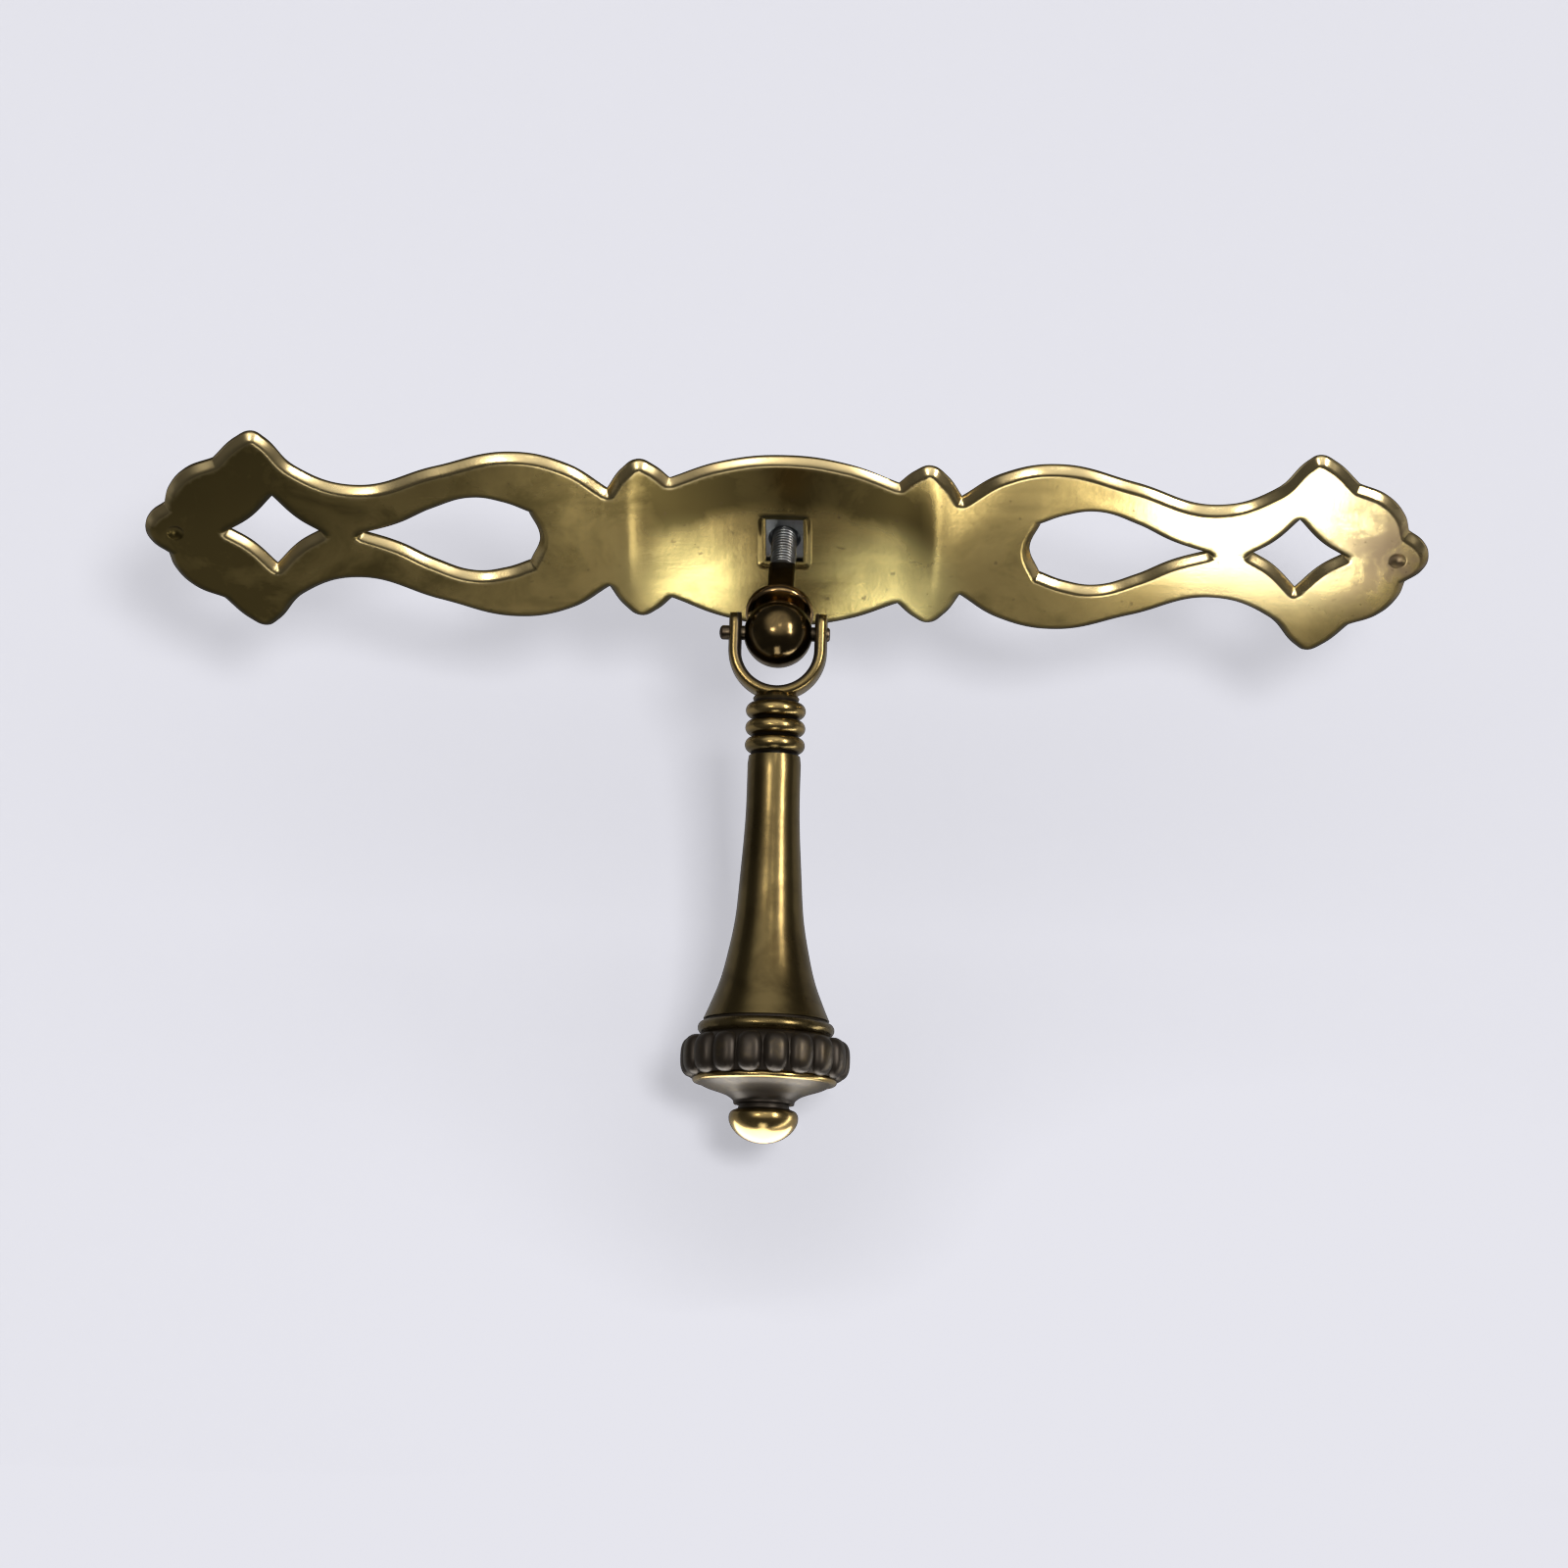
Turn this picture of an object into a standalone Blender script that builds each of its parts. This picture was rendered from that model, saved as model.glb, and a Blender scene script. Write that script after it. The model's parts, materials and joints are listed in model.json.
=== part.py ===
"""Brass drop pull: a long pierced backplate with a turned pendant that swings on a ball-headed post.

Frame, in metres: X runs along the plate, +Y points into the drawer front behind it and +Z is up.
The origin is the centre of the plate's square hole, on the plate's back face.
"""

from math import atan2, cos, degrees, pi, radians, sin, sqrt

import bmesh
import bpy
from mathutils import Euler, Matrix

COLLECTION = "drop_pull"
CUTTER_COLLECTION = "drop_pull_cutters"

# Shared fits
FIT_GAP = 0.0003            # air between two pieces that touch on the real pull
BOOLEAN_REACH = 0.0010      # how far a cutter runs past the face that it opens
SOFT_EDGE = 0.0003          # rounding of cast and stamped edges
CREASE_ANGLE = radians(40)  # edges sharper than this stay crisp when shaded

# Backplate: overall size, then the outline's stations
PLATE_LENGTH = 0.1500
PLATE_THICKNESS = 0.0014
LENS_HALF_HEIGHT = 0.0124   # the swelling around the post
LENS_HALF_LENGTH = 0.0133
LENS_NOTCH_DEPTH = 0.0036   # from the lens's highest point down to the notch beside it
BUMP_LENGTH = 0.0073        # the small round bump beside the lens
BUMP_HALF_HEIGHT = 0.0114
WAVE_HALF_HEIGHT = 0.0120   # the swelling that holds the teardrop hole
WAVE_CREST_FROM_BUMP = 0.0113
WAVE_NOTCH_DEPTH = 0.0049   # from the wave's crest down to the notch before it
NECK_HALF_HEIGHT = 0.00665  # the narrow waist before the end ornament
NECK_FROM_TIP = 0.0249
HORN_HALF_HEIGHT = 0.0142
HORN_FROM_TIP = 0.0134
SHOULDER_HALF_HEIGHT = 0.0102
SHOULDER_FROM_TIP = 0.0086
TIP_HALF_HEIGHT = 0.0042
TIP_LENGTH = 0.0025
PLATE_EDGE_ROUND = 0.0005

# Backplate: piercings and punch marks
POST_HOLE_WIDTH = 0.0044
POST_HOLE_HEIGHT = 0.0062
TEARDROP_FROM_BUMP = 0.0080
TEARDROP_HALF_HEIGHT = 0.00555
TEARDROP_END_HALF_HEIGHT = 0.0037
TEARDROP_POINT_TO_NECK = 0.0007
DIAMOND_FROM_TIP = 0.0152
DIAMOND_HALF_WIDTH = 0.00535
DIAMOND_HALF_HEIGHT = 0.0051
PUNCH_MARK_FROM_TIP = 0.0036
PUNCH_MARK_DIAMETER = 0.0021
PUNCH_MARK_DEPTH = 0.0004

# Ball-headed post
BALL_DIAMETER = 0.0078
COLLAR_DIAMETER = 0.0078
COLLAR_THICKNESS = 0.0013
COLLAR_INTO_BALL = 0.0007     # how far the ball's back sinks into the collar
NECK_SIDE = 0.0031
NECK_LENGTH = 0.0070
STAND_OFF = 0.0160           # ball centre to the plate's front face, drawn fully forward

# Fixing hardware
STUD_DIAMETER = 0.0030
STUD_LENGTH = 0.0185
STUD_TANG_DIAMETER = 0.0016
STUD_TANG_LENGTH = 0.0040
WASHER_DIAMETER = 0.0100
WASHER_THICKNESS = 0.0008
NUT_ACROSS_FLATS = 0.0055
NUT_THICKNESS = 0.0024

# Pivot and yoke
PIN_DIAMETER = 0.0016
PIN_HEAD_LENGTH = 0.0011
PIN_TAIL_LENGTH = 0.0003
YOKE_ARM_THICKNESS = 0.0014
YOKE_DEPTH = 0.0040
YOKE_EAR_RADIUS = 0.0024
YOKE_ROOM_UNDER_BALL = 0.0023

# Ringed collar under the yoke
RING_DIAMETER = 0.0068
RING_GROOVE_DIAMETER = 0.0054
RING_PITCH = 0.0020
RING_COUNT = 3
YOKE_TO_RINGS = 0.0004        # the yoke's underside to the first ring's upper groove

# Hollow stem, gadrooned cap, finial and the rod that ties them
STEM_TOP_DIAMETER = 0.0060
STEM_LENGTH = 0.0302
STEM_FOOT_DIAMETER = 0.0142
STEM_WALL = 0.0009
ROD_DIAMETER = 0.0025
ROD_SOCKET_DEPTH = 0.0040
BEAD_DIAMETER = 0.0154
BEAD_THICKNESS = 0.0015
CAP_DIAMETER = 0.0176
CAP_BAND_HEIGHT = 0.0052
CAP_UNDERSIDE_HEIGHT = 0.0023
CAP_NECK_DIAMETER = 0.0070
LOBE_COUNT = 18
LOBE_PROUD = 0.00105
LOBE_ROOT = 0.0006          # how far each lobe sinks into the band
LOBE_WIDTH_SHARE = 0.92     # of the room that each lobe has round the band
LOBE_HEIGHT_SHARE = 0.92    # of the band's height
FINIAL_DIAMETER = 0.0078
FINIAL_HEIGHT = 0.0044
FINIAL_NECK_DIAMETER = 0.0060
FINIAL_NECK_HEIGHT = 0.0006
FINIAL_RIM_DEPTH = 0.0016   # from the finial's top to its widest ring

REST_SWING = radians(50.0)   # the pendant's lean out from hanging, as it is stored

# Mesh fineness
TURN_STEPS = 28
BORE_SIDES = 24
BALL_FACETS = 12
RING_FACETS = 5
BOWL_FACETS = 14
EAR_FACETS = 10
DOME_FACETS = 6
LOBE_SEGMENTS = 10
LOBE_RINGS = 6
OUTLINE_RESOLUTION = 3

# Places that follow from the sizes
BALL_RADIUS = BALL_DIAMETER / 2
COLLAR_BEHIND_BALL = BALL_RADIUS - COLLAR_INTO_BALL  # ball centre to the collar's front face
COLLAR_BACK = COLLAR_BEHIND_BALL + COLLAR_THICKNESS
NECK_END = COLLAR_BACK + NECK_LENGTH
HINGE_Y = -(PLATE_THICKNESS + STAND_OFF)
YOKE_INNER_RADIUS = max(BALL_RADIUS, COLLAR_DIAMETER / 2) + FIT_GAP
YOKE_OUTER_RADIUS = YOKE_INNER_RADIUS + YOKE_ARM_THICKNESS
YOKE_INNER_BOTTOM = BALL_RADIUS + YOKE_ROOM_UNDER_BALL
YOKE_ARC_DROP = YOKE_INNER_BOTTOM - YOKE_INNER_RADIUS
RING_TOP = YOKE_ARC_DROP + YOKE_OUTER_RADIUS + YOKE_TO_RINGS  # hinge axis to the first ring
RINGS_BOTTOM = RING_TOP + RING_COUNT * RING_PITCH
STEM_TOP = RINGS_BOTTOM + FIT_GAP
STEM_FOOT = STEM_TOP + STEM_LENGTH
CAP_TOP = STEM_FOOT + FIT_GAP
CAP_BOTTOM = CAP_TOP + BEAD_THICKNESS + CAP_BAND_HEIGHT + CAP_UNDERSIDE_HEIGHT
FINIAL_TOP = CAP_BOTTOM + FIT_GAP
ROD_BORE_RADIUS = ROD_DIAMETER / 2 + FIT_GAP


# Helpers

def clear_scene():
    for old in list(bpy.data.objects):
        bpy.data.objects.remove(old, do_unlink=True)


def make_collection(name):
    collection = bpy.data.collections.new(name)
    bpy.context.scene.collection.children.link(collection)
    return collection


def make_material(name, colour, roughness, metallic):
    material = bpy.data.materials.new(name)
    material.use_nodes = True
    shader = material.node_tree.nodes["Principled BSDF"]
    shader.inputs["Base Color"].default_value = (*colour, 1.0)
    shader.inputs["Roughness"].default_value = roughness
    shader.inputs["Metallic"].default_value = metallic
    return material


def place(obj, collection, parent=None, location=(0, 0, 0), rotation=(0, 0, 0)):
    collection.objects.link(obj)
    obj.parent = parent
    obj.location = location
    obj.rotation_euler = rotation
    return obj


def make_empty(name, collection, parent=None, location=(0, 0, 0), rotation=(0, 0, 0)):
    return place(bpy.data.objects.new(name, None), collection, parent, location, rotation)


def shade_round(mesh):
    """Smooth shading with crisp edges, so round faces read as round."""
    mesh.shade_smooth()
    mesh.set_sharp_from_angle(angle=CREASE_ANGLE)


def mesh_object(name, build, material=None):
    """A new object whose mesh is filled by build(bm)."""
    mesh = bpy.data.meshes.new(name)
    bm = bmesh.new()
    build(bm)
    bm.to_mesh(mesh)
    bm.free()
    shade_round(mesh)
    if material:
        mesh.materials.append(material)
    return bpy.data.objects.new(name, mesh)


def cylinder(radius, length, centre, axis="Z", sides=TURN_STEPS):
    """A builder for a capped cylinder centred on a point."""
    turn = {"X": Euler((0, pi / 2, 0)), "Y": Euler((pi / 2, 0, 0)), "Z": Euler((0, 0, 0))}[axis]
    matrix = Matrix.Translation(centre) @ turn.to_matrix().to_4x4()

    def build(bm):
        bmesh.ops.create_cone(bm, cap_ends=True, segments=sides, radius1=radius, radius2=radius,
                              depth=length, matrix=matrix)
    return build


def box(size, centre):
    """A builder for a box centred on a point."""
    def build(bm):
        bmesh.ops.create_cube(bm, size=1.0, matrix=Matrix.Translation(centre) @ Matrix.Diagonal((*size, 1.0)))
    return build


def turned(name, profile, material, closed):
    """An object turned about Z from (radius, z) points that run down its outer side.

    A closed profile returns up a bore; an open one starts and ends on the axis.
    """
    def build(bm):
        verts = [bm.verts.new((radius, 0, z)) for radius, z in profile]
        for first, second in zip(verts, verts[1:]):
            bm.edges.new((first, second))
        if closed:
            bm.edges.new((verts[-1], verts[0]))
    obj = mesh_object(name, build, material)
    screw = obj.modifiers.new("turn", "SCREW")
    screw.axis = "Z"
    screw.angle = 2 * pi
    screw.steps = TURN_STEPS
    screw.render_steps = TURN_STEPS
    screw.use_merge_vertices = True
    screw.merge_threshold = 0.00001
    screw.use_smooth_shade = True
    return obj


def cut(obj, cutter, operation="DIFFERENCE"):
    """Adds a Boolean modifier; the cutter shares the object's parent and place."""
    cutter.hide_render = True
    cutter.display_type = "WIRE"
    modifier = obj.modifiers.new(cutter.name, "BOOLEAN")
    modifier.operation = operation
    modifier.solver = "EXACT"
    modifier.object = cutter


def soften(obj, width, segments):
    bevel = obj.modifiers.new("soft edges", "BEVEL")
    bevel.width = width
    bevel.segments = segments
    bevel.limit_method = "ANGLE"
    bevel.angle_limit = CREASE_ANGLE


def arc(centre_radius, centre_z, radius, start, end, count):
    """Points of an arc in a profile; angles in degrees, 0 along +radius and 90 along +z."""
    points = []
    for i in range(count + 1):
        angle = radians(start + (end - start) * i / count)
        points.append((centre_radius + radius * cos(angle), centre_z + radius * sin(angle)))
    return points


def add_outline(curve, corners, resolution):
    """Adds a closed Bezier spline; each corner is (x, y, sharp)."""
    spline = curve.splines.new("BEZIER")
    spline.bezier_points.add(len(corners) - 1)
    spline.use_cyclic_u = True
    spline.resolution_u = resolution
    for point, (x, y, sharp) in zip(spline.bezier_points, corners):
        point.co = (x, y, 0)
        point.handle_left_type = "VECTOR" if sharp else "AUTO"
        point.handle_right_type = "VECTOR" if sharp else "AUTO"


def mesh_from_curve(source, name, material=None):
    """A welded mesh object with a curve's evaluated shape; the curve is removed."""
    depsgraph = bpy.context.evaluated_depsgraph_get()
    mesh = bpy.data.meshes.new_from_object(source.evaluated_get(depsgraph))
    bpy.data.objects.remove(source, do_unlink=True)
    bm = bmesh.new()
    bm.from_mesh(mesh)
    bmesh.ops.remove_doubles(bm, verts=bm.verts, dist=0.000002)
    bmesh.ops.dissolve_limit(bm, angle_limit=radians(0.5), verts=bm.verts, edges=bm.edges)
    bmesh.ops.recalc_face_normals(bm, faces=bm.faces)
    bm.to_mesh(mesh)
    bm.free()
    shade_round(mesh)
    mesh.name = name
    mesh.materials.clear()
    if material:
        mesh.materials.append(material)
    return bpy.data.objects.new(name, mesh)


def flat_mesh(name, outlines, thickness, resolution, material=None):
    """A mesh object extruded from closed outlines in the XY plane, centred on Z = 0."""
    curve = bpy.data.curves.new(name, "CURVE")
    curve.dimensions = "2D"
    curve.fill_mode = "BOTH"
    curve.extrude = thickness / 2
    for corners in outlines:
        add_outline(curve, corners, resolution)
    source = bpy.data.objects.new(name, curve)
    bpy.context.scene.collection.objects.link(source)
    return mesh_from_curve(source, name, material)


def four_way(quarter):
    """A closed outline from its quarter, which runs from the +Y axis to the +X axis."""
    lower = [(x, -y, sharp) for x, y, sharp in reversed(quarter[:-1])]
    right = quarter + lower
    left = [(-x, y, sharp) for x, y, sharp in reversed(right[1:-1])]
    return right + left


def mirrored(outline, flip_x):
    """An outline reflected left to right when flip_x is -1."""
    return [(flip_x * x, y, sharp) for x, y, sharp in outline]


# Backplate

def plate_stations():
    """Distances from the centre to the outline's named stations."""
    tip = PLATE_LENGTH / 2
    return {
        "tip": tip,
        "bump_end": LENS_HALF_LENGTH + BUMP_LENGTH,
        "crest": LENS_HALF_LENGTH + BUMP_LENGTH + WAVE_CREST_FROM_BUMP,
        "neck": tip - NECK_FROM_TIP,
        "horn": tip - HORN_FROM_TIP,
        "shoulder": tip - SHOULDER_FROM_TIP,
        "tip_start": tip - TIP_LENGTH,
    }


def plate_outline():
    """The plate's edge; the small offsets shape the curve between the named stations."""
    s = plate_stations()
    lens_notch = LENS_HALF_HEIGHT - LENS_NOTCH_DEPTH
    wave_notch = WAVE_HALF_HEIGHT - WAVE_NOTCH_DEPTH
    bump_middle = LENS_HALF_LENGTH + BUMP_LENGTH / 2
    waist_to_crest = s["neck"] - s["crest"]
    crest_to_waist = WAVE_HALF_HEIGHT - NECK_HALF_HEIGHT
    quarter = [
        (0, LENS_HALF_HEIGHT, False),
        (0.56 * LENS_HALF_LENGTH, LENS_HALF_HEIGHT - 0.0011, False),
        (LENS_HALF_LENGTH, lens_notch, True),
        (bump_middle - 0.0018, BUMP_HALF_HEIGHT - 0.0008, False),
        (bump_middle, BUMP_HALF_HEIGHT, False),
        (bump_middle + 0.0019, BUMP_HALF_HEIGHT - 0.0014, False),
        (s["bump_end"], wave_notch, True),
        (s["bump_end"] + 0.0046, WAVE_HALF_HEIGHT - 0.0015, False),
        (s["crest"], WAVE_HALF_HEIGHT, False),
        (s["crest"] + 0.48 * waist_to_crest, NECK_HALF_HEIGHT + 0.56 * crest_to_waist, False),
        (s["neck"], NECK_HALF_HEIGHT, False),
        (s["neck"] + 0.0068, NECK_HALF_HEIGHT + 0.0026, False),
        (s["horn"] - 0.0013, HORN_HALF_HEIGHT - 0.0008, False),
        (s["horn"], HORN_HALF_HEIGHT, False),
        (s["horn"] + 0.0019, HORN_HALF_HEIGHT - 0.0009, False),
        (s["shoulder"], SHOULDER_HALF_HEIGHT, True),
        (s["shoulder"] + 0.0033, SHOULDER_HALF_HEIGHT - 0.0016, False),
        (s["tip_start"] - 0.0006, TIP_HALF_HEIGHT + 0.0022, False),
        (s["tip_start"], TIP_HALF_HEIGHT, True),
        (s["tip"] - 0.0007, TIP_HALF_HEIGHT - 0.0016, False),
        (s["tip"], 0, False),
    ]
    return four_way(quarter)


def teardrop_outline():
    """The right-hand piercing: a blunt inner end that narrows to a point at the neck."""
    s = plate_stations()
    inner = s["bump_end"] + TEARDROP_FROM_BUMP
    point = s["neck"] - TEARDROP_POINT_TO_NECK
    span = point - inner
    upper = [
        (inner + 0.0012, TEARDROP_END_HALF_HEIGHT, True),
        (inner + 0.20 * span, 0.90 * TEARDROP_HALF_HEIGHT, False),
        (inner + 0.38 * span, TEARDROP_HALF_HEIGHT, False),
        (inner + 0.60 * span, 0.70 * TEARDROP_HALF_HEIGHT, False),
        (inner + 0.80 * span, 0.28 * TEARDROP_HALF_HEIGHT, False),
    ]
    lower = [(x, -y, sharp) for x, y, sharp in reversed(upper)]
    return [(inner, 0, False)] + upper + [(point, 0, True)] + lower


def diamond_outline():
    """The right-hand end piercing: a diamond whose sides curve inwards."""
    centre = PLATE_LENGTH / 2 - DIAMOND_FROM_TIP
    quarter = [
        (0, DIAMOND_HALF_HEIGHT, True),
        (0.52 * DIAMOND_HALF_WIDTH, 0.36 * DIAMOND_HALF_HEIGHT, False),
        (DIAMOND_HALF_WIDTH, 0, True),
    ]
    return [(centre + x, y, sharp) for x, y, sharp in four_way(quarter)]


def post_hole_outline():
    half_width, half_height = POST_HOLE_WIDTH / 2, POST_HOLE_HEIGHT / 2
    return [(-half_width, half_height, True), (half_width, half_height, True),
            (half_width, -half_height, True), (-half_width, -half_height, True)]


def make_backplate(parts, cutters, material):
    outlines = [plate_outline(), post_hole_outline()]
    for side in (1, -1):
        outlines.append(mirrored(teardrop_outline(), side))
        outlines.append(mirrored(diamond_outline(), side))
    plate = flat_mesh("backplate", outlines, PLATE_THICKNESS, OUTLINE_RESOLUTION, material)
    upright = Matrix.Rotation(pi / 2, 4, "X")
    plate.data.transform(Matrix.Translation((0, -PLATE_THICKNESS / 2, 0)) @ upright)
    place(plate, parts)

    mark_radius = PUNCH_MARK_DIAMETER / 2
    ball_radius = (mark_radius ** 2 + PUNCH_MARK_DEPTH ** 2) / (2 * PUNCH_MARK_DEPTH)
    mark_x = PLATE_LENGTH / 2 - PUNCH_MARK_FROM_TIP
    mark_y = -PLATE_THICKNESS + PUNCH_MARK_DEPTH - ball_radius

    def punches(bm):
        for side in (1, -1):
            bmesh.ops.create_uvsphere(bm, u_segments=16, v_segments=12, radius=ball_radius,
                                      matrix=Matrix.Translation((side * mark_x, mark_y, 0)))
    soften(plate, PLATE_EDGE_ROUND, segments=1)
    cut(plate, place(mesh_object("punch_marks", punches), cutters))


# Post and fixing hardware, in the post's own frame: ball centre at the origin, +Z into the drawer

def make_post(parts, cutters, frame, material):
    waist = sqrt(BALL_RADIUS ** 2 - COLLAR_BEHIND_BALL ** 2)
    rim = COLLAR_DIAMETER / 2
    waist_angle = degrees(atan2(COLLAR_BEHIND_BALL, waist))
    profile = [(0, COLLAR_BACK)]
    profile += arc(rim - SOFT_EDGE, COLLAR_BACK - SOFT_EDGE, SOFT_EDGE, 90, 0, 2)
    profile += arc(rim - SOFT_EDGE, COLLAR_BEHIND_BALL + SOFT_EDGE, SOFT_EDGE, 0, -90, 2)
    profile += arc(0, 0, BALL_RADIUS, waist_angle, -90, BALL_FACETS)
    profile[-1] = (0, -BALL_RADIUS)
    post = place(turned("ball_post", profile, material, closed=False), parts, frame)

    neck_middle = (0, 0, (NECK_END + COLLAR_BEHIND_BALL) / 2)
    neck_size = (NECK_SIDE, NECK_SIDE, NECK_END - COLLAR_BEHIND_BALL)
    neck = place(mesh_object("square_neck", box(neck_size, neck_middle)), cutters, frame)
    cut(post, neck, "UNION")

    pin_bore = cylinder(PIN_DIAMETER / 2 + FIT_GAP, BALL_DIAMETER + BOOLEAN_REACH, (0, 0, 0), "X", BORE_SIDES)
    cut(post, place(mesh_object("pin_bore", pin_bore), cutters, frame))

    socket_length = STUD_TANG_LENGTH + FIT_GAP
    socket = cylinder(STUD_TANG_DIAMETER / 2 + FIT_GAP, socket_length + BOOLEAN_REACH,
                      (0, 0, NECK_END - socket_length / 2 + BOOLEAN_REACH / 2), "Z", BORE_SIDES)
    cut(post, place(mesh_object("stud_socket", socket), cutters, frame))


def make_stud(parts, frame, material):
    start = NECK_END + FIT_GAP
    end = start + STUD_LENGTH
    radius, tang = STUD_DIAMETER / 2, STUD_TANG_DIAMETER / 2
    profile = [(0, end), (radius - SOFT_EDGE, end), (radius, end - SOFT_EDGE), (radius, start),
               (tang, start), (tang, NECK_END - STUD_TANG_LENGTH), (0, NECK_END - STUD_TANG_LENGTH)]
    place(turned("threaded_stud", profile, material, closed=False), parts, frame)


def washer_front():
    """The washer's front face, in the post's frame, just behind the plate."""
    return PLATE_THICKNESS + STAND_OFF + FIT_GAP


def make_washer(parts, frame, material):
    bore = STUD_DIAMETER / 2 + FIT_GAP
    front = washer_front()
    back = front + WASHER_THICKNESS
    profile = [(bore, back), (WASHER_DIAMETER / 2, back), (WASHER_DIAMETER / 2, front), (bore, front)]
    place(turned("washer", profile, material, closed=True), parts, frame)


def make_nut(parts, cutters, frame, material):
    front = washer_front() + WASHER_THICKNESS + FIT_GAP
    middle = (0, 0, front + NUT_THICKNESS / 2)
    corner_radius = NUT_ACROSS_FLATS / 2 / cos(pi / 6)
    nut = place(mesh_object("hex_nut", cylinder(corner_radius, NUT_THICKNESS, middle, "Z", 6), material),
                parts, frame)
    bore = cylinder(STUD_DIAMETER / 2 + FIT_GAP, NUT_THICKNESS + 2 * BOOLEAN_REACH, middle, "Z", BORE_SIDES)
    cut(nut, place(mesh_object("nut_bore", bore), cutters, frame))


# Pendant, in its own frame: hinge axis along X through the origin, the drop hangs along -Z

def make_pivot_pin(parts, pendant, material):
    left = -(YOKE_OUTER_RADIUS + PIN_HEAD_LENGTH)
    right = YOKE_OUTER_RADIUS + PIN_TAIL_LENGTH
    pin = cylinder(PIN_DIAMETER / 2, right - left, ((left + right) / 2, 0, 0), "X", BORE_SIDES)
    obj = place(mesh_object("pivot_pin", pin, material), parts, pendant)
    soften(obj, SOFT_EDGE / 2, segments=2)


def rounded_rectangle(width, height, corner):
    """Outline points of a rectangle whose corners are quarter circles."""
    points = []
    for quarter, (sx, sy) in enumerate(((1, 1), (-1, 1), (-1, -1), (1, -1))):
        centre_x, centre_y = sx * (width / 2 - corner), sy * (height / 2 - corner)
        for i in range(3):
            angle = pi / 2 * (quarter + i / 2)
            points.append((centre_x + corner * cos(angle), centre_y + corner * sin(angle)))
    return points


def poly_curve(name, points, cyclic):
    curve = bpy.data.curves.new(name, "CURVE")
    curve.dimensions = "3D"
    spline = curve.splines.new("POLY")
    spline.points.add(len(points) - 1)
    spline.use_cyclic_u = cyclic
    for point, (x, y) in zip(spline.points, points):
        point.co = (x, y, 0, 1)
    return bpy.data.objects.new(name, curve)


def swept_mesh(name, path, section, material):
    """A mesh object: a flat section swept along a flat path, with both ends capped."""
    guide = poly_curve(name + "_section", section, True)
    sweep = poly_curve(name, path, False)
    sweep.data.bevel_mode = "OBJECT"
    sweep.data.bevel_object = guide
    sweep.data.use_fill_caps = True
    sweep.data.twist_mode = "Z_UP"
    for curve in (guide, sweep):
        bpy.context.scene.collection.objects.link(curve)
    obj = mesh_from_curve(sweep, name, material)
    bpy.data.objects.remove(guide, do_unlink=True)
    return obj


def yoke_path():
    """The middle line of the U around the ball: ears up, bowl down."""
    middle = YOKE_INNER_RADIUS + YOKE_ARM_THICKNESS / 2
    bowl = [(-middle * cos(pi * i / BOWL_FACETS), -YOKE_ARC_DROP - middle * sin(pi * i / BOWL_FACETS))
            for i in range(BOWL_FACETS + 1)]
    return [(-middle, YOKE_EAR_RADIUS)] + bowl + [(middle, YOKE_EAR_RADIUS)]


def yoke_side_outline():
    """The yoke seen from its side: round ears that widen into the bowl."""
    ear = [(YOKE_EAR_RADIUS * cos(pi * i / EAR_FACETS), YOKE_EAR_RADIUS * sin(pi * i / EAR_FACETS), True)
           for i in range(EAR_FACETS + 1)]
    half_depth = YOKE_DEPTH / 2 + BOOLEAN_REACH
    bottom = -(YOKE_ARC_DROP + YOKE_OUTER_RADIUS + BOOLEAN_REACH)
    flare = -(YOKE_ARC_DROP + YOKE_EAR_RADIUS)
    return ear + [(-half_depth, flare, True), (-half_depth, bottom, True),
                  (half_depth, bottom, True), (half_depth, flare, True)]


def make_yoke(parts, cutters, pendant, material):
    section = rounded_rectangle(YOKE_ARM_THICKNESS, YOKE_DEPTH, SOFT_EDGE)
    yoke = swept_mesh("yoke_collar", yoke_path(), section, material)
    yoke.data.transform(Matrix.Rotation(pi / 2, 4, "X"))
    place(yoke, parts, pendant)

    side = flat_mesh("yoke_side", [yoke_side_outline()], 2 * YOKE_OUTER_RADIUS + 2 * BOOLEAN_REACH, 1)
    side.data.transform(Matrix.Rotation(pi / 2, 4, "Z") @ Matrix.Rotation(pi / 2, 4, "X"))
    cut(yoke, place(side, cutters, pendant), "INTERSECT")

    seat_depth = YOKE_ARC_DROP + YOKE_INNER_RADIUS + YOKE_ARM_THICKNESS / 2
    groove, crest = RING_GROOVE_DIAMETER / 2, RING_DIAMETER / 2
    profile = [(0, -seat_depth), (groove, -seat_depth)]
    for ring in range(RING_COUNT):
        middle = -(RING_TOP + (ring + 0.5) * RING_PITCH)
        for i in range(RING_FACETS):
            angle = pi * i / RING_FACETS
            profile.append((groove + (crest - groove) * sin(angle), middle + RING_PITCH / 2 * cos(angle)))
    profile += [(groove, -RINGS_BOTTOM), (0, -RINGS_BOTTOM)]
    rings = place(turned("ring_stack", profile, None, closed=False), cutters, pendant)
    cut(yoke, rings, "UNION")

    bore_length = 2 * (YOKE_OUTER_RADIUS + BOOLEAN_REACH)
    bore = cylinder(PIN_DIAMETER / 2 + FIT_GAP, bore_length, (0, 0, 0), "X", BORE_SIDES)
    cut(yoke, place(mesh_object("ear_bore", bore), cutters, pendant))

    socket_depth = ROD_SOCKET_DEPTH + FIT_GAP
    socket = cylinder(ROD_BORE_RADIUS, socket_depth + BOOLEAN_REACH,
                      (0, 0, -RINGS_BOTTOM + socket_depth / 2 - BOOLEAN_REACH / 2), "Z", BORE_SIDES)
    cut(yoke, place(mesh_object("rod_socket", socket), cutters, pendant))


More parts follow.
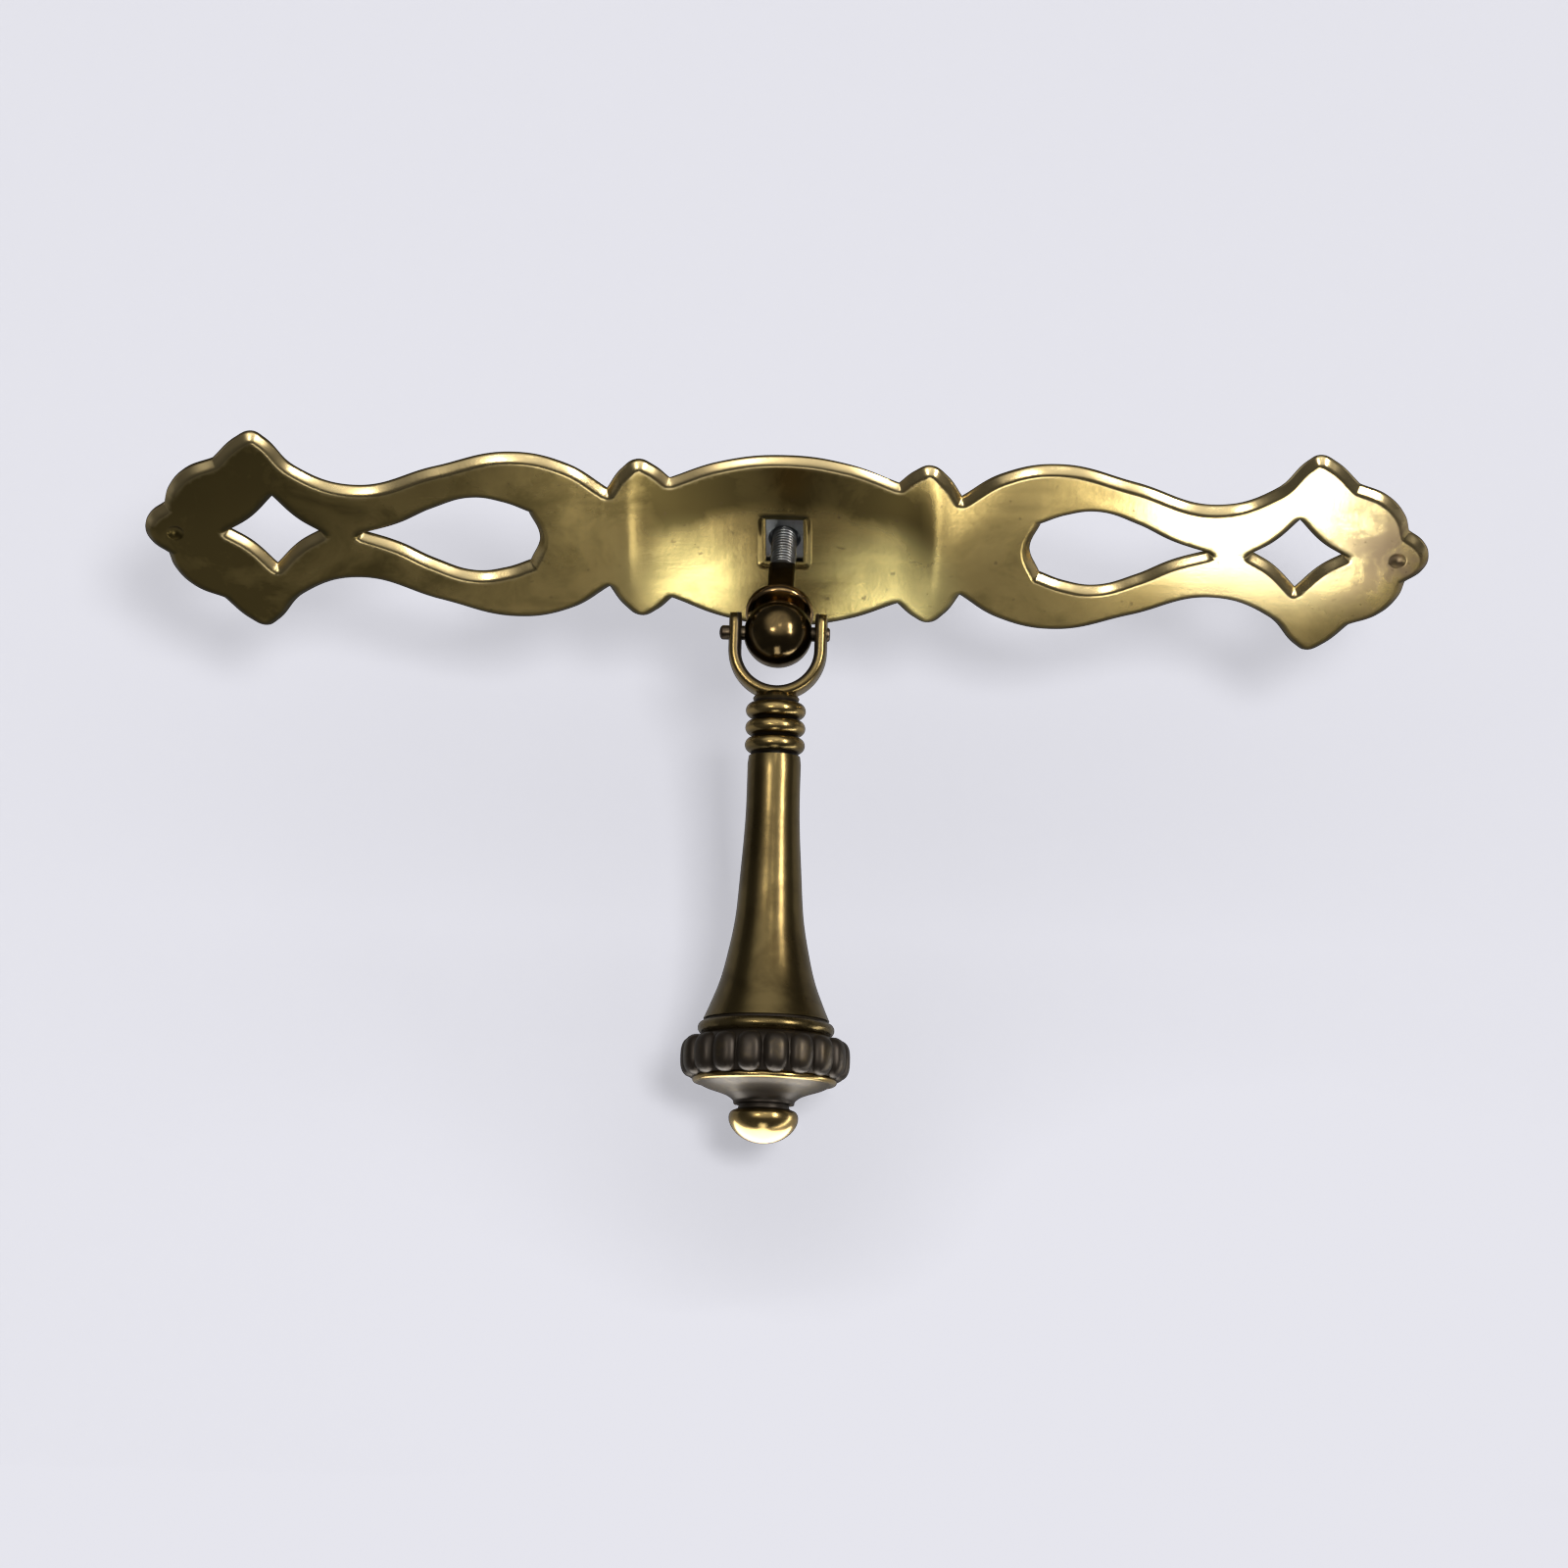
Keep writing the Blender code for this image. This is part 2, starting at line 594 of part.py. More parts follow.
def stem_stations():
    """(radius, distance down the stem) of the trumpet's outside."""
    top, foot = STEM_TOP_DIAMETER / 2, STEM_FOOT_DIAMETER / 2
    flare = foot - top
    return [(top, 0.0), (top + 0.012 * flare, 0.23 * STEM_LENGTH), (top + 0.12 * flare, 0.47 * STEM_LENGTH),
            (top + 0.21 * flare, 0.62 * STEM_LENGTH), (top + 0.39 * flare, 0.755 * STEM_LENGTH),
            (top + 0.585 * flare, 0.86 * STEM_LENGTH), (top + 0.87 * flare, 0.96 * STEM_LENGTH),
            (foot, STEM_LENGTH)]


def make_stem(parts, pendant, material):
    outside = [(radius, -STEM_TOP - depth) for radius, depth in stem_stations()]
    inside = [(max(radius - STEM_WALL, ROD_BORE_RADIUS), z) for radius, z in reversed(outside)]
    place(turned("drop_stem", outside + inside, material, closed=True), parts, pendant)


def make_rod(parts, pendant, material):
    top = -RINGS_BOTTOM + ROD_SOCKET_DEPTH
    bottom = -FINIAL_TOP - FINIAL_HEIGHT / 2
    rod = cylinder(ROD_DIAMETER / 2, top - bottom, (0, 0, (top + bottom) / 2), "Z", BORE_SIDES)
    place(mesh_object("tie_rod", rod, material), parts, pendant)


def make_cap(parts, cutters, pendant, material):
    band_top = -CAP_TOP - BEAD_THICKNESS
    band_bottom = band_top - CAP_BAND_HEIGHT
    band_middle = (band_top + band_bottom) / 2
    bead = BEAD_DIAMETER / 2
    band = CAP_DIAMETER / 2
    neck = CAP_NECK_DIAMETER / 2
    half_bead = BEAD_THICKNESS / 2
    profile = [(ROD_BORE_RADIUS, -CAP_TOP)]
    profile += arc(bead - half_bead, -CAP_TOP - half_bead, half_bead, 90, -60, 5)
    profile += [(band - 0.0010, band_top), (band, band_middle + 0.0010), (band, band_middle - 0.0012),
                (band - 0.0006, band_bottom + 0.0006), (band - 0.0014, band_bottom)]
    profile += [(neck + 0.0016, band_bottom - 0.55 * CAP_UNDERSIDE_HEIGHT),
                (neck, band_bottom - 0.80 * CAP_UNDERSIDE_HEIGHT),
                (neck, -CAP_BOTTOM), (ROD_BORE_RADIUS, -CAP_BOTTOM)]
    cap = place(turned("gadrooned_cap", profile, material, closed=True), parts, pendant)

    lobe_radius = (band + LOBE_PROUD) * sin(pi / LOBE_COUNT) - FIT_GAP / 2
    lobe_depth = LOBE_PROUD + LOBE_ROOT
    lobe_seat = Matrix.Translation((band - LOBE_ROOT, 0, band_middle))
    lobe_size = (lobe_depth, lobe_radius * LOBE_WIDTH_SHARE, CAP_BAND_HEIGHT / 2 * LOBE_HEIGHT_SHARE)

    def lobes(bm):
        for i in range(LOBE_COUNT):
            turn = Matrix.Rotation(2 * pi * i / LOBE_COUNT, 4, "Z")
            bmesh.ops.create_uvsphere(bm, u_segments=LOBE_SEGMENTS, v_segments=LOBE_RINGS, radius=1.0,
                                      matrix=turn @ lobe_seat @ Matrix.Diagonal((*lobe_size, 1)))
    cut(cap, place(mesh_object("lobes", lobes), cutters, pendant), "UNION")


def make_finial(parts, cutters, pendant, material):
    radius = FINIAL_DIAMETER / 2
    top, bottom = -FINIAL_TOP, -FINIAL_TOP - FINIAL_HEIGHT
    waist = FINIAL_NECK_DIAMETER / 2
    dome = FINIAL_HEIGHT - FINIAL_RIM_DEPTH
    profile = [(0, top), (waist, top), (waist, top - FINIAL_NECK_HEIGHT)]
    profile += [(radius * cos(a), top - FINIAL_RIM_DEPTH - dome * sin(a))
                for a in (pi / 2 * i / DOME_FACETS for i in range(DOME_FACETS))]
    profile += [(0, bottom)]
    finial = place(turned("finial_nut", profile, material, closed=False), parts, pendant)
    depth = FINIAL_HEIGHT / 2 + FIT_GAP
    middle = (0, 0, top - depth / 2 + BOOLEAN_REACH / 2)
    socket = cylinder(ROD_BORE_RADIUS, depth + BOOLEAN_REACH, middle, "Z", BORE_SIDES)
    cut(finial, place(mesh_object("finial_socket", socket), cutters, pendant))


def main():
    clear_scene()
    parts = make_collection(COLLECTION)
    cutters = make_collection(CUTTER_COLLECTION)
    plate_brass = make_material("polished_brass", (0.60, 0.42, 0.13), 0.28, 1.0)
    drop_brass = make_material("aged_brass", (0.38, 0.26, 0.10), 0.30, 1.0)
    steel = make_material("steel", (0.45, 0.46, 0.48), 0.38, 1.0)

    make_backplate(parts, cutters, plate_brass)

    post_frame = make_empty("post_frame", parts, None, (0, HINGE_Y, 0), (-pi / 2, 0, 0))
    make_post(parts, cutters, post_frame, drop_brass)
    make_stud(parts, post_frame, steel)
    make_washer(parts, post_frame, steel)
    make_nut(parts, cutters, post_frame, steel)

    pendant = make_empty("pendant_hinge", parts, None, (0, HINGE_Y, 0), (-REST_SWING, 0, 0))
    make_pivot_pin(parts, pendant, steel)
    make_yoke(parts, cutters, pendant, drop_brass)
    make_stem(parts, pendant, drop_brass)
    make_rod(parts, pendant, steel)
    make_cap(parts, cutters, pendant, drop_brass)
    make_finial(parts, cutters, pendant, drop_brass)


main()
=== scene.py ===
"""Brass drop pull: the looks of a long pierced backplate with a turned pendant on a ball-headed post."""

import json
from math import atan2, cos, degrees, hypot, pi, radians, sin, sqrt, tan

import bmesh
import bpy
import numpy as np
from mathutils import Matrix, Vector
from mathutils.geometry import delaunay_2d_cdt


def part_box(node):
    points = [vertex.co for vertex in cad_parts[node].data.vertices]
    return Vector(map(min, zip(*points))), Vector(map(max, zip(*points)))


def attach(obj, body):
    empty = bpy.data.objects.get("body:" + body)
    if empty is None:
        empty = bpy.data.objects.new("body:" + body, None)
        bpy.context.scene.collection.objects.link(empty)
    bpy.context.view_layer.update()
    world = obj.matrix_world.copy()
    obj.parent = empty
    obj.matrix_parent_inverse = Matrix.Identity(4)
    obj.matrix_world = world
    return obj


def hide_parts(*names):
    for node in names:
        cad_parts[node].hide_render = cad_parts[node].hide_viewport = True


bl_info = {
    "name": "Brass drop pull",
    "version": (1, 0, 0),
    "blender": (4, 5, 0),
    "location": "View3D > Sidebar > Drop Pull",
    "description": "Builds the pieces of a brass drop pull on its packed CAD bodies",
    "category": "Add Mesh",
}

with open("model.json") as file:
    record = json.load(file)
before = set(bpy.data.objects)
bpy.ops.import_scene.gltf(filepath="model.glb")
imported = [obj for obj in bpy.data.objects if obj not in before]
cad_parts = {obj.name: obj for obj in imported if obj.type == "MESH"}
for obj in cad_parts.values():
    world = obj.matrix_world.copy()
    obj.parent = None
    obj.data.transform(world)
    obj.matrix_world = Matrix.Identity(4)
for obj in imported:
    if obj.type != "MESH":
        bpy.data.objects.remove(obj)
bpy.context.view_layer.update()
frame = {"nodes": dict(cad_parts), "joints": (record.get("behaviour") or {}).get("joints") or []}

PLATE_LOW, PLATE_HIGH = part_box("backplate")
POST_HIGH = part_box("ball_post")[1]
STUD_LOW, STUD_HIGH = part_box("threaded_stud")
WASHER_LOW, WASHER_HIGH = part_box("washer")
NUT_LOW, NUT_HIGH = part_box("hex_nut")
PIN_LOW, PIN_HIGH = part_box("pivot_pin")

HINGE = next(Vector(joint["pos_m"]) for joint in frame["joints"] if joint["name"] == "pendant_swing")
REST_SWING = radians(50.0)
POST_FRAME = Matrix.Translation(HINGE) @ Matrix.Rotation(-pi / 2, 4, "X")
PENDANT_FRAME = Matrix.Translation(HINGE) @ Matrix.Rotation(-REST_SWING, 4, "X")

# The plate's outline, measured from its centre or its tip
LENS_HALF_HEIGHT = 0.0124
LENS_HALF_LENGTH = 0.0133
LENS_NOTCH_DEPTH = 0.0036
BUMP_LENGTH = 0.0073
BUMP_HALF_HEIGHT = 0.0114
WAVE_HALF_HEIGHT = 0.0120
WAVE_CREST_FROM_BUMP = 0.0113
WAVE_NOTCH_DEPTH = 0.0049
NECK_HALF_HEIGHT = 0.00665
NECK_FROM_TIP = 0.0249
HORN_HALF_HEIGHT = 0.0142
HORN_FROM_TIP = 0.0134
SHOULDER_HALF_HEIGHT = 0.0102
SHOULDER_FROM_TIP = 0.0086
TIP_HALF_HEIGHT = 0.0036
TIP_LENGTH = 0.0025
POST_HOLE_WIDTH = 0.0044
POST_HOLE_HEIGHT = 0.0062
TEARDROP_FROM_BUMP = 0.0080
TEARDROP_HALF_HEIGHT = 0.00555
TEARDROP_END_HALF_HEIGHT = 0.0037
TEARDROP_POINT_TO_NECK = 0.0007
DIAMOND_FROM_TIP = 0.0152
DIAMOND_HALF_WIDTH = 0.00535
DIAMOND_HALF_HEIGHT = 0.0051
PUNCH_MARK_FROM_TIP = 0.0036
PUNCH_MARK_DIAMETER = 0.0021
PUNCH_MARK_DEPTH = 0.0004

# The post, yoke and drop, measured from the hinge
BALL_RADIUS = 0.0039
COLLAR_FRONT = 0.0032
COLLAR_BACK = 0.0045
NECK_SIDE = 0.0031
YOKE_INNER_RADIUS = 0.0042
YOKE_ARM_THICKNESS = 0.0014
YOKE_DEPTH = 0.0040
YOKE_EAR_RADIUS = 0.0024
YOKE_ARC_DROP = 0.0020
RING_TOP = 0.0080
RING_PITCH = 0.0020
RING_COUNT = 3
RING_RADIUS = 0.0034
RING_GROOVE_RADIUS = 0.0027
STEM_TOP = 0.0143
STEM_LENGTH = 0.0302
STEM_TOP_RADIUS = 0.0030
STEM_FOOT_RADIUS = 0.0071
STEM_WALL = 0.0009
CAP_TOP = 0.0448
BEAD_RADIUS = 0.0077
BEAD_THICKNESS = 0.0015
BAND_RADIUS = 0.0088
BAND_HEIGHT = 0.0052
CAP_NECK_RADIUS = 0.0035
ROD_RADIUS = 0.00125
ROD_BORE_RADIUS = 0.00155
FINIAL_TOP = 0.0541
FINIAL_RADIUS = 0.0039
FINIAL_HEIGHT = 0.0044

WEAR_AND_PAINTED_EDGE_LIGHT = "wear"  # a point attribute: on the turned pieces 0 in the recesses and 1 on what fingers and cloths rub; on the plate it carries painted light, high on edges that face up and low on edges that face down


# What a user would change

class DropPullSizes(bpy.types.PropertyGroup):
    """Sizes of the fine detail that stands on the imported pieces."""
    edge_width: bpy.props.FloatProperty(
        name="Rolled edge", description="Width of the rounding along the plate's front edges",
        default=0.0008, min=0.0002, max=0.0015, unit="LENGTH", precision=5)
    edge_drop: bpy.props.FloatProperty(
        name="Edge drop", description="How far the rolled edge falls away towards the drawer",
        default=0.0008, min=0.0002, max=0.0012, unit="LENGTH", precision=5)
    lens_dish: bpy.props.FloatProperty(
        name="Lens dish", description="Depth of the shallow dish around the post",
        default=0.0008, min=0.0, max=0.0009, unit="LENGTH", precision=5)
    sheet_wave: bpy.props.FloatProperty(
        name="Sheet waves", description="Height of the slow waves that stamping left in the sheet",
        default=0.00012, min=0.0, max=0.0003, unit="LENGTH", precision=5)
    thread_pitch: bpy.props.FloatProperty(
        name="Thread pitch", description="Distance between the stud's threads",
        default=0.0005, min=0.0003, max=0.001, unit="LENGTH", precision=5)
    lobe_count: bpy.props.IntProperty(
        name="Lobes", description="How many lobes stand round the cap", default=18, min=6, max=36)
    lobe_proud: bpy.props.FloatProperty(
        name="Lobe height", description="How far each lobe stands out of the cap's band",
        default=0.00092, min=0.0002, max=0.00105, unit="LENGTH", precision=5)
    turning_steps: bpy.props.IntProperty(
        name="Turning steps", description="Facets round the turned pieces", default=96, min=24, max=192)


class DropPullColours(bpy.types.PropertyGroup):
    """Colours of the metals and the table."""
    plate_brass: bpy.props.FloatVectorProperty(
        name="Plate brass", description="Clean brass of the plate", subtype="COLOR", size=3,
        default=(0.62, 0.46, 0.175), min=0, max=1)
    plate_tarnish: bpy.props.FloatVectorProperty(
        name="Plate tarnish", description="Brown tarnish that mottles the plate", subtype="COLOR", size=3,
        default=(0.15, 0.112, 0.038), min=0, max=1)
    drop_brass: bpy.props.FloatVectorProperty(
        name="Drop brass", description="Aged brass of the post, yoke and drop", subtype="COLOR", size=3,
        default=(0.20, 0.148, 0.062), min=0, max=1)
    drop_rubbed: bpy.props.FloatVectorProperty(
        name="Rubbed brass", description="Brighter brass where the drop is handled", subtype="COLOR", size=3,
        default=(0.66, 0.47, 0.19), min=0, max=1)
    drop_patina: bpy.props.FloatVectorProperty(
        name="Dark patina", description="Near black patina in the drop's recesses", subtype="COLOR", size=3,
        default=(0.042, 0.032, 0.024), min=0, max=1)
    steel: bpy.props.FloatVectorProperty(
        name="Steel", description="Zinc grey of the stud, nut, washer, rod and pin", subtype="COLOR", size=3,
        default=(0.33, 0.35, 0.37), min=0, max=1)
    table: bpy.props.FloatVectorProperty(
        name="Table", description="Pale top that the pull lies on", subtype="COLOR", size=3,
        default=(0.56, 0.565, 0.59), min=0, max=1)


# Shader maths

class Wire:
    """A socket in a material; arithmetic on it adds Math nodes."""

    def __init__(self, paint, socket):
        self.paint = paint
        self.socket = socket

    def calculated(self, operation, first, second, clamped=False):
        return self.paint.node("ShaderNodeMath", {"operation": operation, "use_clamp": clamped},
                               {0: first, 1: second})

    def __add__(self, other):
        return self.calculated("ADD", self, other)

    def __radd__(self, other):
        return self.calculated("ADD", other, self)

    def __sub__(self, other):
        return self.calculated("SUBTRACT", self, other)

    def __rsub__(self, other):
        return self.calculated("SUBTRACT", other, self)

    def __mul__(self, other):
        return self.calculated("MULTIPLY", self, other)

    def __rmul__(self, other):
        return self.calculated("MULTIPLY", other, self)

    def clamped(self):
        return self.calculated("ADD", self, 0.0, clamped=True)


class Wiring:
    """A shader tree that nodes are added to."""

    def __init__(self, tree):
        self.tree = tree

    def node(self, kind, settings=None, values=None, output=0):
        """Adds a node: its settings first, then the values or wires of its sockets."""
        node = self.tree.nodes.new(kind)
        for name, value in (settings or {}).items():
            setattr(node, name, value)
        for key, value in (values or {}).items():
            if isinstance(value, Wire):
                self.tree.links.new(value.socket, node.inputs[key])
            else:
                node.inputs[key].default_value = value
        return Wire(self, node.outputs[output]) if node.outputs else node

    def between(self, value, low, high, start=0.0, end=1.0):
        """A soft step: start below low, end above high."""
        return self.node("ShaderNodeMapRange", {"interpolation_type": "SMOOTHSTEP"}, {
            "Value": value, "From Min": low, "From Max": high, "To Min": start, "To Max": end})


class Paint(Wiring):
    """One material's shader tree."""

    def __init__(self, name):
        self.material = bpy.data.materials.new(name)
        self.material.use_nodes = True
        super().__init__(self.material.node_tree)
        self.tree.nodes.clear()

    def place(self, scale=(1, 1, 1), turn=(0, 0, 0), shift=(0, 0, 0)):
        """Object coordinates, stretched and turned for a pattern."""
        plain = self.node("ShaderNodeTexCoord", output="Object")
        return self.node("ShaderNodeMapping", values={
            "Vector": plain, "Scale": scale, "Rotation": turn, "Location": shift})

    def noise(self, frequency, detail=3.0, roughness=0.5, distortion=0.0, **placing):
        return self.node("ShaderNodeTexNoise", values={
            "Vector": self.place(**placing), "Scale": frequency, "Detail": detail,
            "Roughness": roughness, "Distortion": distortion})

    def near(self, point, radius):
        """1 at a point and 0 beyond a radius from it."""
        away = self.node("ShaderNodeVectorMath", {"operation": "DISTANCE"},
                         {0: self.place(), 1: point}, output="Value")
        return self.between(away, 0.0, radius, 1.0, 0.0)

    def mix(self, factor, first, second):
        colours = [colour if isinstance(colour, Wire) else (*colour, 1.0) for colour in (first, second)]
        return self.node("ShaderNodeMix", {"data_type": "RGBA"},
                         {0: factor, 6: colours[0], 7: colours[1]}, output=2)

    def bump(self, height, distance, strength=1.0, normal=None):
        values = {"Height": height, "Distance": distance, "Strength": strength}
        if normal:
            values["Normal"] = normal
        return self.node("ShaderNodeBump", values=values)

    def wear(self):
        return self.node("ShaderNodeAttribute", {"attribute_name": WEAR_AND_PAINTED_EDGE_LIGHT}, output="Fac")

    def close(self, values):
        """Ends the tree in one Principled shader and returns the material."""
        shader = self.node("ShaderNodeBsdfPrincipled", values=values)
        self.node("ShaderNodeOutputMaterial", values={"Surface": shader})
        return self.material


def colours():
    return bpy.context.scene.drop_pull_colours


def sizes():
    return bpy.context.scene.drop_pull_sizes


def made_once(build):
    """Keeps one copy of a material however many pieces ask for it."""
    def find():
        return bpy.data.materials.get(build.__name__) or build(Paint(build.__name__))
    return find


@made_once
def worn_plate_brass(paint):
    """Polished sheet brass with mottled tarnishing and fine scratches, and painted light: painted highlights in
    the lens, near the right end and along edges that face up; painted shade along edges that face down; a painted
    dark reflection under the lens's top rim and over the left end, which is also tarnished.
    """
    mottle = paint.between(paint.noise(95, 5, 0.62, 0.6), 0.40, 0.68)
    cloud = paint.between(paint.noise(34, 3, 0.55, shift=(0.31, 0.0, 0.12)), 0.38, 0.68)
    # Darker left end: partly tarnishing, partly a painted dark reflection.
    left_end_tarnish_and_shade = paint.near((-0.088, 0.0, -0.004), 0.085)
    # Painted highlight: a bright patch near the right end.
    right_end_highlight = paint.between(paint.near((0.056, 0.0, 0.007), 0.024), 0.05, 0.60)
    right_tip = paint.near((0.071, 0.0, 0.001), 0.014) * paint.between(paint.noise(190, 4, 0.6, 0.5), 0.38, 0.58)
    specks = paint.between(paint.noise(900, 2, 0.5), 0.68, 0.76)
    # Painted dark reflection: an arc under the lens's top rim, as if it mirrored the shaded table.
    below_top = paint.between(paint.near((0.0, 0.0, -0.022), 0.040), 0.19, 0.33, 1.0, 0.0)
    top_arc_dark_reflection = below_top * paint.between(paint.near((0.0, 0.0, 0.004), 0.024), 0.05, 0.40)
    # Dark mix: random tarnishing plus painted shade over the left end and under the lens's top rim.
    tarnish_and_painted_shade = (0.44 * mottle + 0.36 * cloud + 0.90 * left_end_tarnish_and_shade + 0.85 * top_arc_dark_reflection).clamped()
    # Painted highlights: bright patches low in the lens on both sides of the post.
    rubbed_and_highlight = (1.9 * paint.near((0.011, 0.0, -0.007), 0.012)
              + 0.8 * paint.near((-0.011, 0.0, -0.006), 0.011)).clamped()
    brass = paint.mix(tarnish_and_painted_shade, colours().plate_brass, colours().plate_tarnish)
    # Painted highlights in the lens.
    brass = paint.mix(rubbed_and_highlight, brass, (1.0, 0.84, 0.34))
    # Painted highlight at the right end.
    brass = paint.mix(0.8 * right_end_highlight, brass, (0.96, 0.78, 0.40))
    brass = paint.mix(0.8 * right_tip, brass, (0.30, 0.21, 0.15))
    brass = paint.mix(0.5 * specks, brass, (0.16, 0.11, 0.06))
    wear = paint.wear()
    # Painted highlight along the edges that face up, away from the post.
    away_from_post = paint.between(paint.near((0.0, 0.0, 0.0), 0.008), 0.15, 0.45, 1.0, 0.0)
    brass = paint.mix(0.8 * away_from_post * paint.between(wear, 0.58, 0.95), brass, (0.92, 0.74, 0.40))
    # Painted shade along the edges that face down and over the back; it also roughens them.
    down_edge_shade = paint.between(wear + 0.10 * (mottle - 0.5), 0.10, 0.42, 1.0, 0.0)
    brass = paint.mix(0.9 * down_edge_shade, brass, (0.055, 0.048, 0.020))

    scratches = paint.noise(900, 2, 0.6, scale=(0.05, 1, 1), turn=(0, 0.5, 0))
    cross_scratches = paint.noise(800, 2, 0.6, scale=(1, 1, 0.05), turn=(0, 0.35, 0))
    roughness = 0.17 + 0.12 * tarnish_and_painted_shade + 0.16 * right_tip + 0.05 * scratches + 0.2 * down_edge_shade
    lens_foot = paint.near((0.0, 0.0, -0.032), 0.032)
    dishing = paint.bump(lens_foot * lens_foot, 0.0042)
    waves = paint.bump(paint.noise(70, 2, 0.4), 0.00022, normal=dishing)
    marks = paint.bump(scratches + cross_scratches + 0.8 * paint.noise(2600, 2, 0.5), 0.000007, normal=waves)
    return paint.close({"Base Color": brass, "Roughness": roughness, "Metallic": 1.0, "Normal": marks})


@made_once
def aged_drop_brass(paint):
    """Cast and turned brass: rubbed bright on the crests, near black in the recesses."""
    wear = paint.wear()
    cloud = paint.noise(150, 5, 0.6, 0.4)
    fine = paint.noise(1400, 4, 0.6)
    rubbed_and_highlight = paint.between(wear + 0.35 * (cloud - 0.5), 0.66, 0.98)
    dark = paint.between(wear + 0.45 * (cloud - 0.5) + 0.25 * (fine - 0.5), 0.16, 0.50, 1.0, 0.0)
    brass = paint.mix(paint.between(cloud, 0.42, 0.64), colours().drop_brass, (0.125, 0.09, 0.037))
    brass = paint.mix(0.8 * rubbed_and_highlight, brass, colours().drop_rubbed)
    brass = paint.mix(dark, brass, colours().drop_patina)
    roughness = 0.21 + 0.16 * dark + 0.10 * cloud - 0.04 * rubbed_and_highlight
    casting = paint.bump(0.6 * paint.noise(420, 3, 0.55) + 0.25 * fine, 0.00004)
    return paint.close({"Base Color": brass, "Roughness": roughness, "Metallic": 1.0 - 0.45 * dark,
                        "Normal": casting})


@made_once
def dark_mirror_brass(paint):
    """The ball's smooth brown brass, shiny where the yoke keeps it rubbed."""
    cloud = paint.noise(260, 4, 0.6, 0.3)
    wear = paint.wear()
    brass = paint.mix(paint.between(cloud, 0.40, 0.66), (0.11, 0.078, 0.038), (0.21, 0.145, 0.062))
    brass = paint.mix(0.7 * paint.between(wear, 0.62, 0.95), brass, (0.42, 0.27, 0.13))
    roughness = 0.10 + 0.14 * cloud
    dents = paint.bump(paint.noise(330, 3, 0.5), 0.00006)
    return paint.close({"Base Color": brass, "Roughness": roughness, "Metallic": 1.0, "Normal": dents})


@made_once
def browned_steel(paint):
    """The pin's steel, browned and oily from years in the ball."""
    cloud = paint.noise(500, 4, 0.6)
    steel = paint.mix(paint.between(cloud, 0.35, 0.65), (0.16, 0.125, 0.085), (0.07, 0.052, 0.038))
    return paint.close({"Base Color": steel, "Roughness": 0.26 + 0.2 * cloud, "Metallic": 1.0,
                        "Normal": paint.bump(cloud, 0.00002)})


@made_once
def zinc_steel(paint):
    """Dull plated steel with fine tool marks and darker spots."""
    cloud = paint.noise(260, 5, 0.6)
    spots = paint.between(paint.noise(1100, 3, 0.6), 0.60, 0.74)
    steel = paint.mix(paint.between(cloud, 0.35, 0.65), colours().steel, (0.25, 0.25, 0.26))
    steel = paint.mix(0.6 * spots, steel, (0.10, 0.085, 0.07))
    tool_marks = paint.noise(2400, 2, 0.5, scale=(1, 0.08, 1))
    roughness = 0.26 + 0.16 * cloud + 0.12 * spots
    return paint.close({"Base Color": steel, "Roughness": roughness, "Metallic": 1.0,
                        "Normal": paint.bump(tool_marks + 0.5 * cloud, 0.000012)})


# Mesh making

def finish_mesh(name, bm, crease=radians(38)):
    """A named mesh with outward faces, smooth where it is round and crisp where it is sharp."""
    bmesh.ops.remove_doubles(bm, verts=bm.verts, dist=1e-7)
    bmesh.ops.recalc_face_normals(bm, faces=bm.faces)
    mesh = bpy.data.meshes.new(name)
    bm.to_mesh(mesh)
    bm.free()
    mesh.shade_smooth()
    mesh.set_sharp_from_angle(angle=crease)
    return mesh


def set_piece(mesh, material, body, matrix, nodes):
    """Puts a mesh in the scene in the shared frame and rides it on its CAD body."""
    mesh.transform(matrix)
    mesh.materials.clear()
    mesh.materials.append(material)
    piece = bpy.data.objects.new(mesh.name, mesh)
    bpy.context.scene.collection.objects.link(piece)
    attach(piece, body)
    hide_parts(*nodes)
    return piece


def turn_profile(bm, profile, steps, matrix=Matrix.Identity(4)):
    """Adds a shape turned about Z from (radius, z, wear) points; a radius of 0 is a pole."""
    layer = bm.verts.layers.float.get(WEAR_AND_PAINTED_EDGE_LIGHT) or bm.verts.layers.float.new(WEAR_AND_PAINTED_EDGE_LIGHT)
    rings = []
    for radius, z, wear in profile:
        count = 1 if radius == 0 else steps
        ring = []
        for i in range(count):
            angle = 2 * pi * i / steps
            vert = bm.verts.new(matrix @ Vector((radius * cos(angle), radius * sin(angle), z)))
            vert[layer] = wear
            ring.append(vert)
        rings.append(ring)
    for upper, lower in zip(rings, rings[1:]):
        bridge(bm, upper, lower)
    if profile[0][0] and profile[-1][0]:
        bridge(bm, rings[-1], rings[0])


def bridge(bm, first, second):
    """Faces between two rings; a ring of one vertex is a pole."""
    count = max(len(first), len(second))
    for i in range(count):
        j = (i + 1) % count
        corners = [first[i % len(first)], first[j % len(first)], second[j % len(second)], second[i % len(second)]]
        distinct = list(dict.fromkeys(corners))
        if len(distinct) > 2:
            bm.faces.new(distinct)


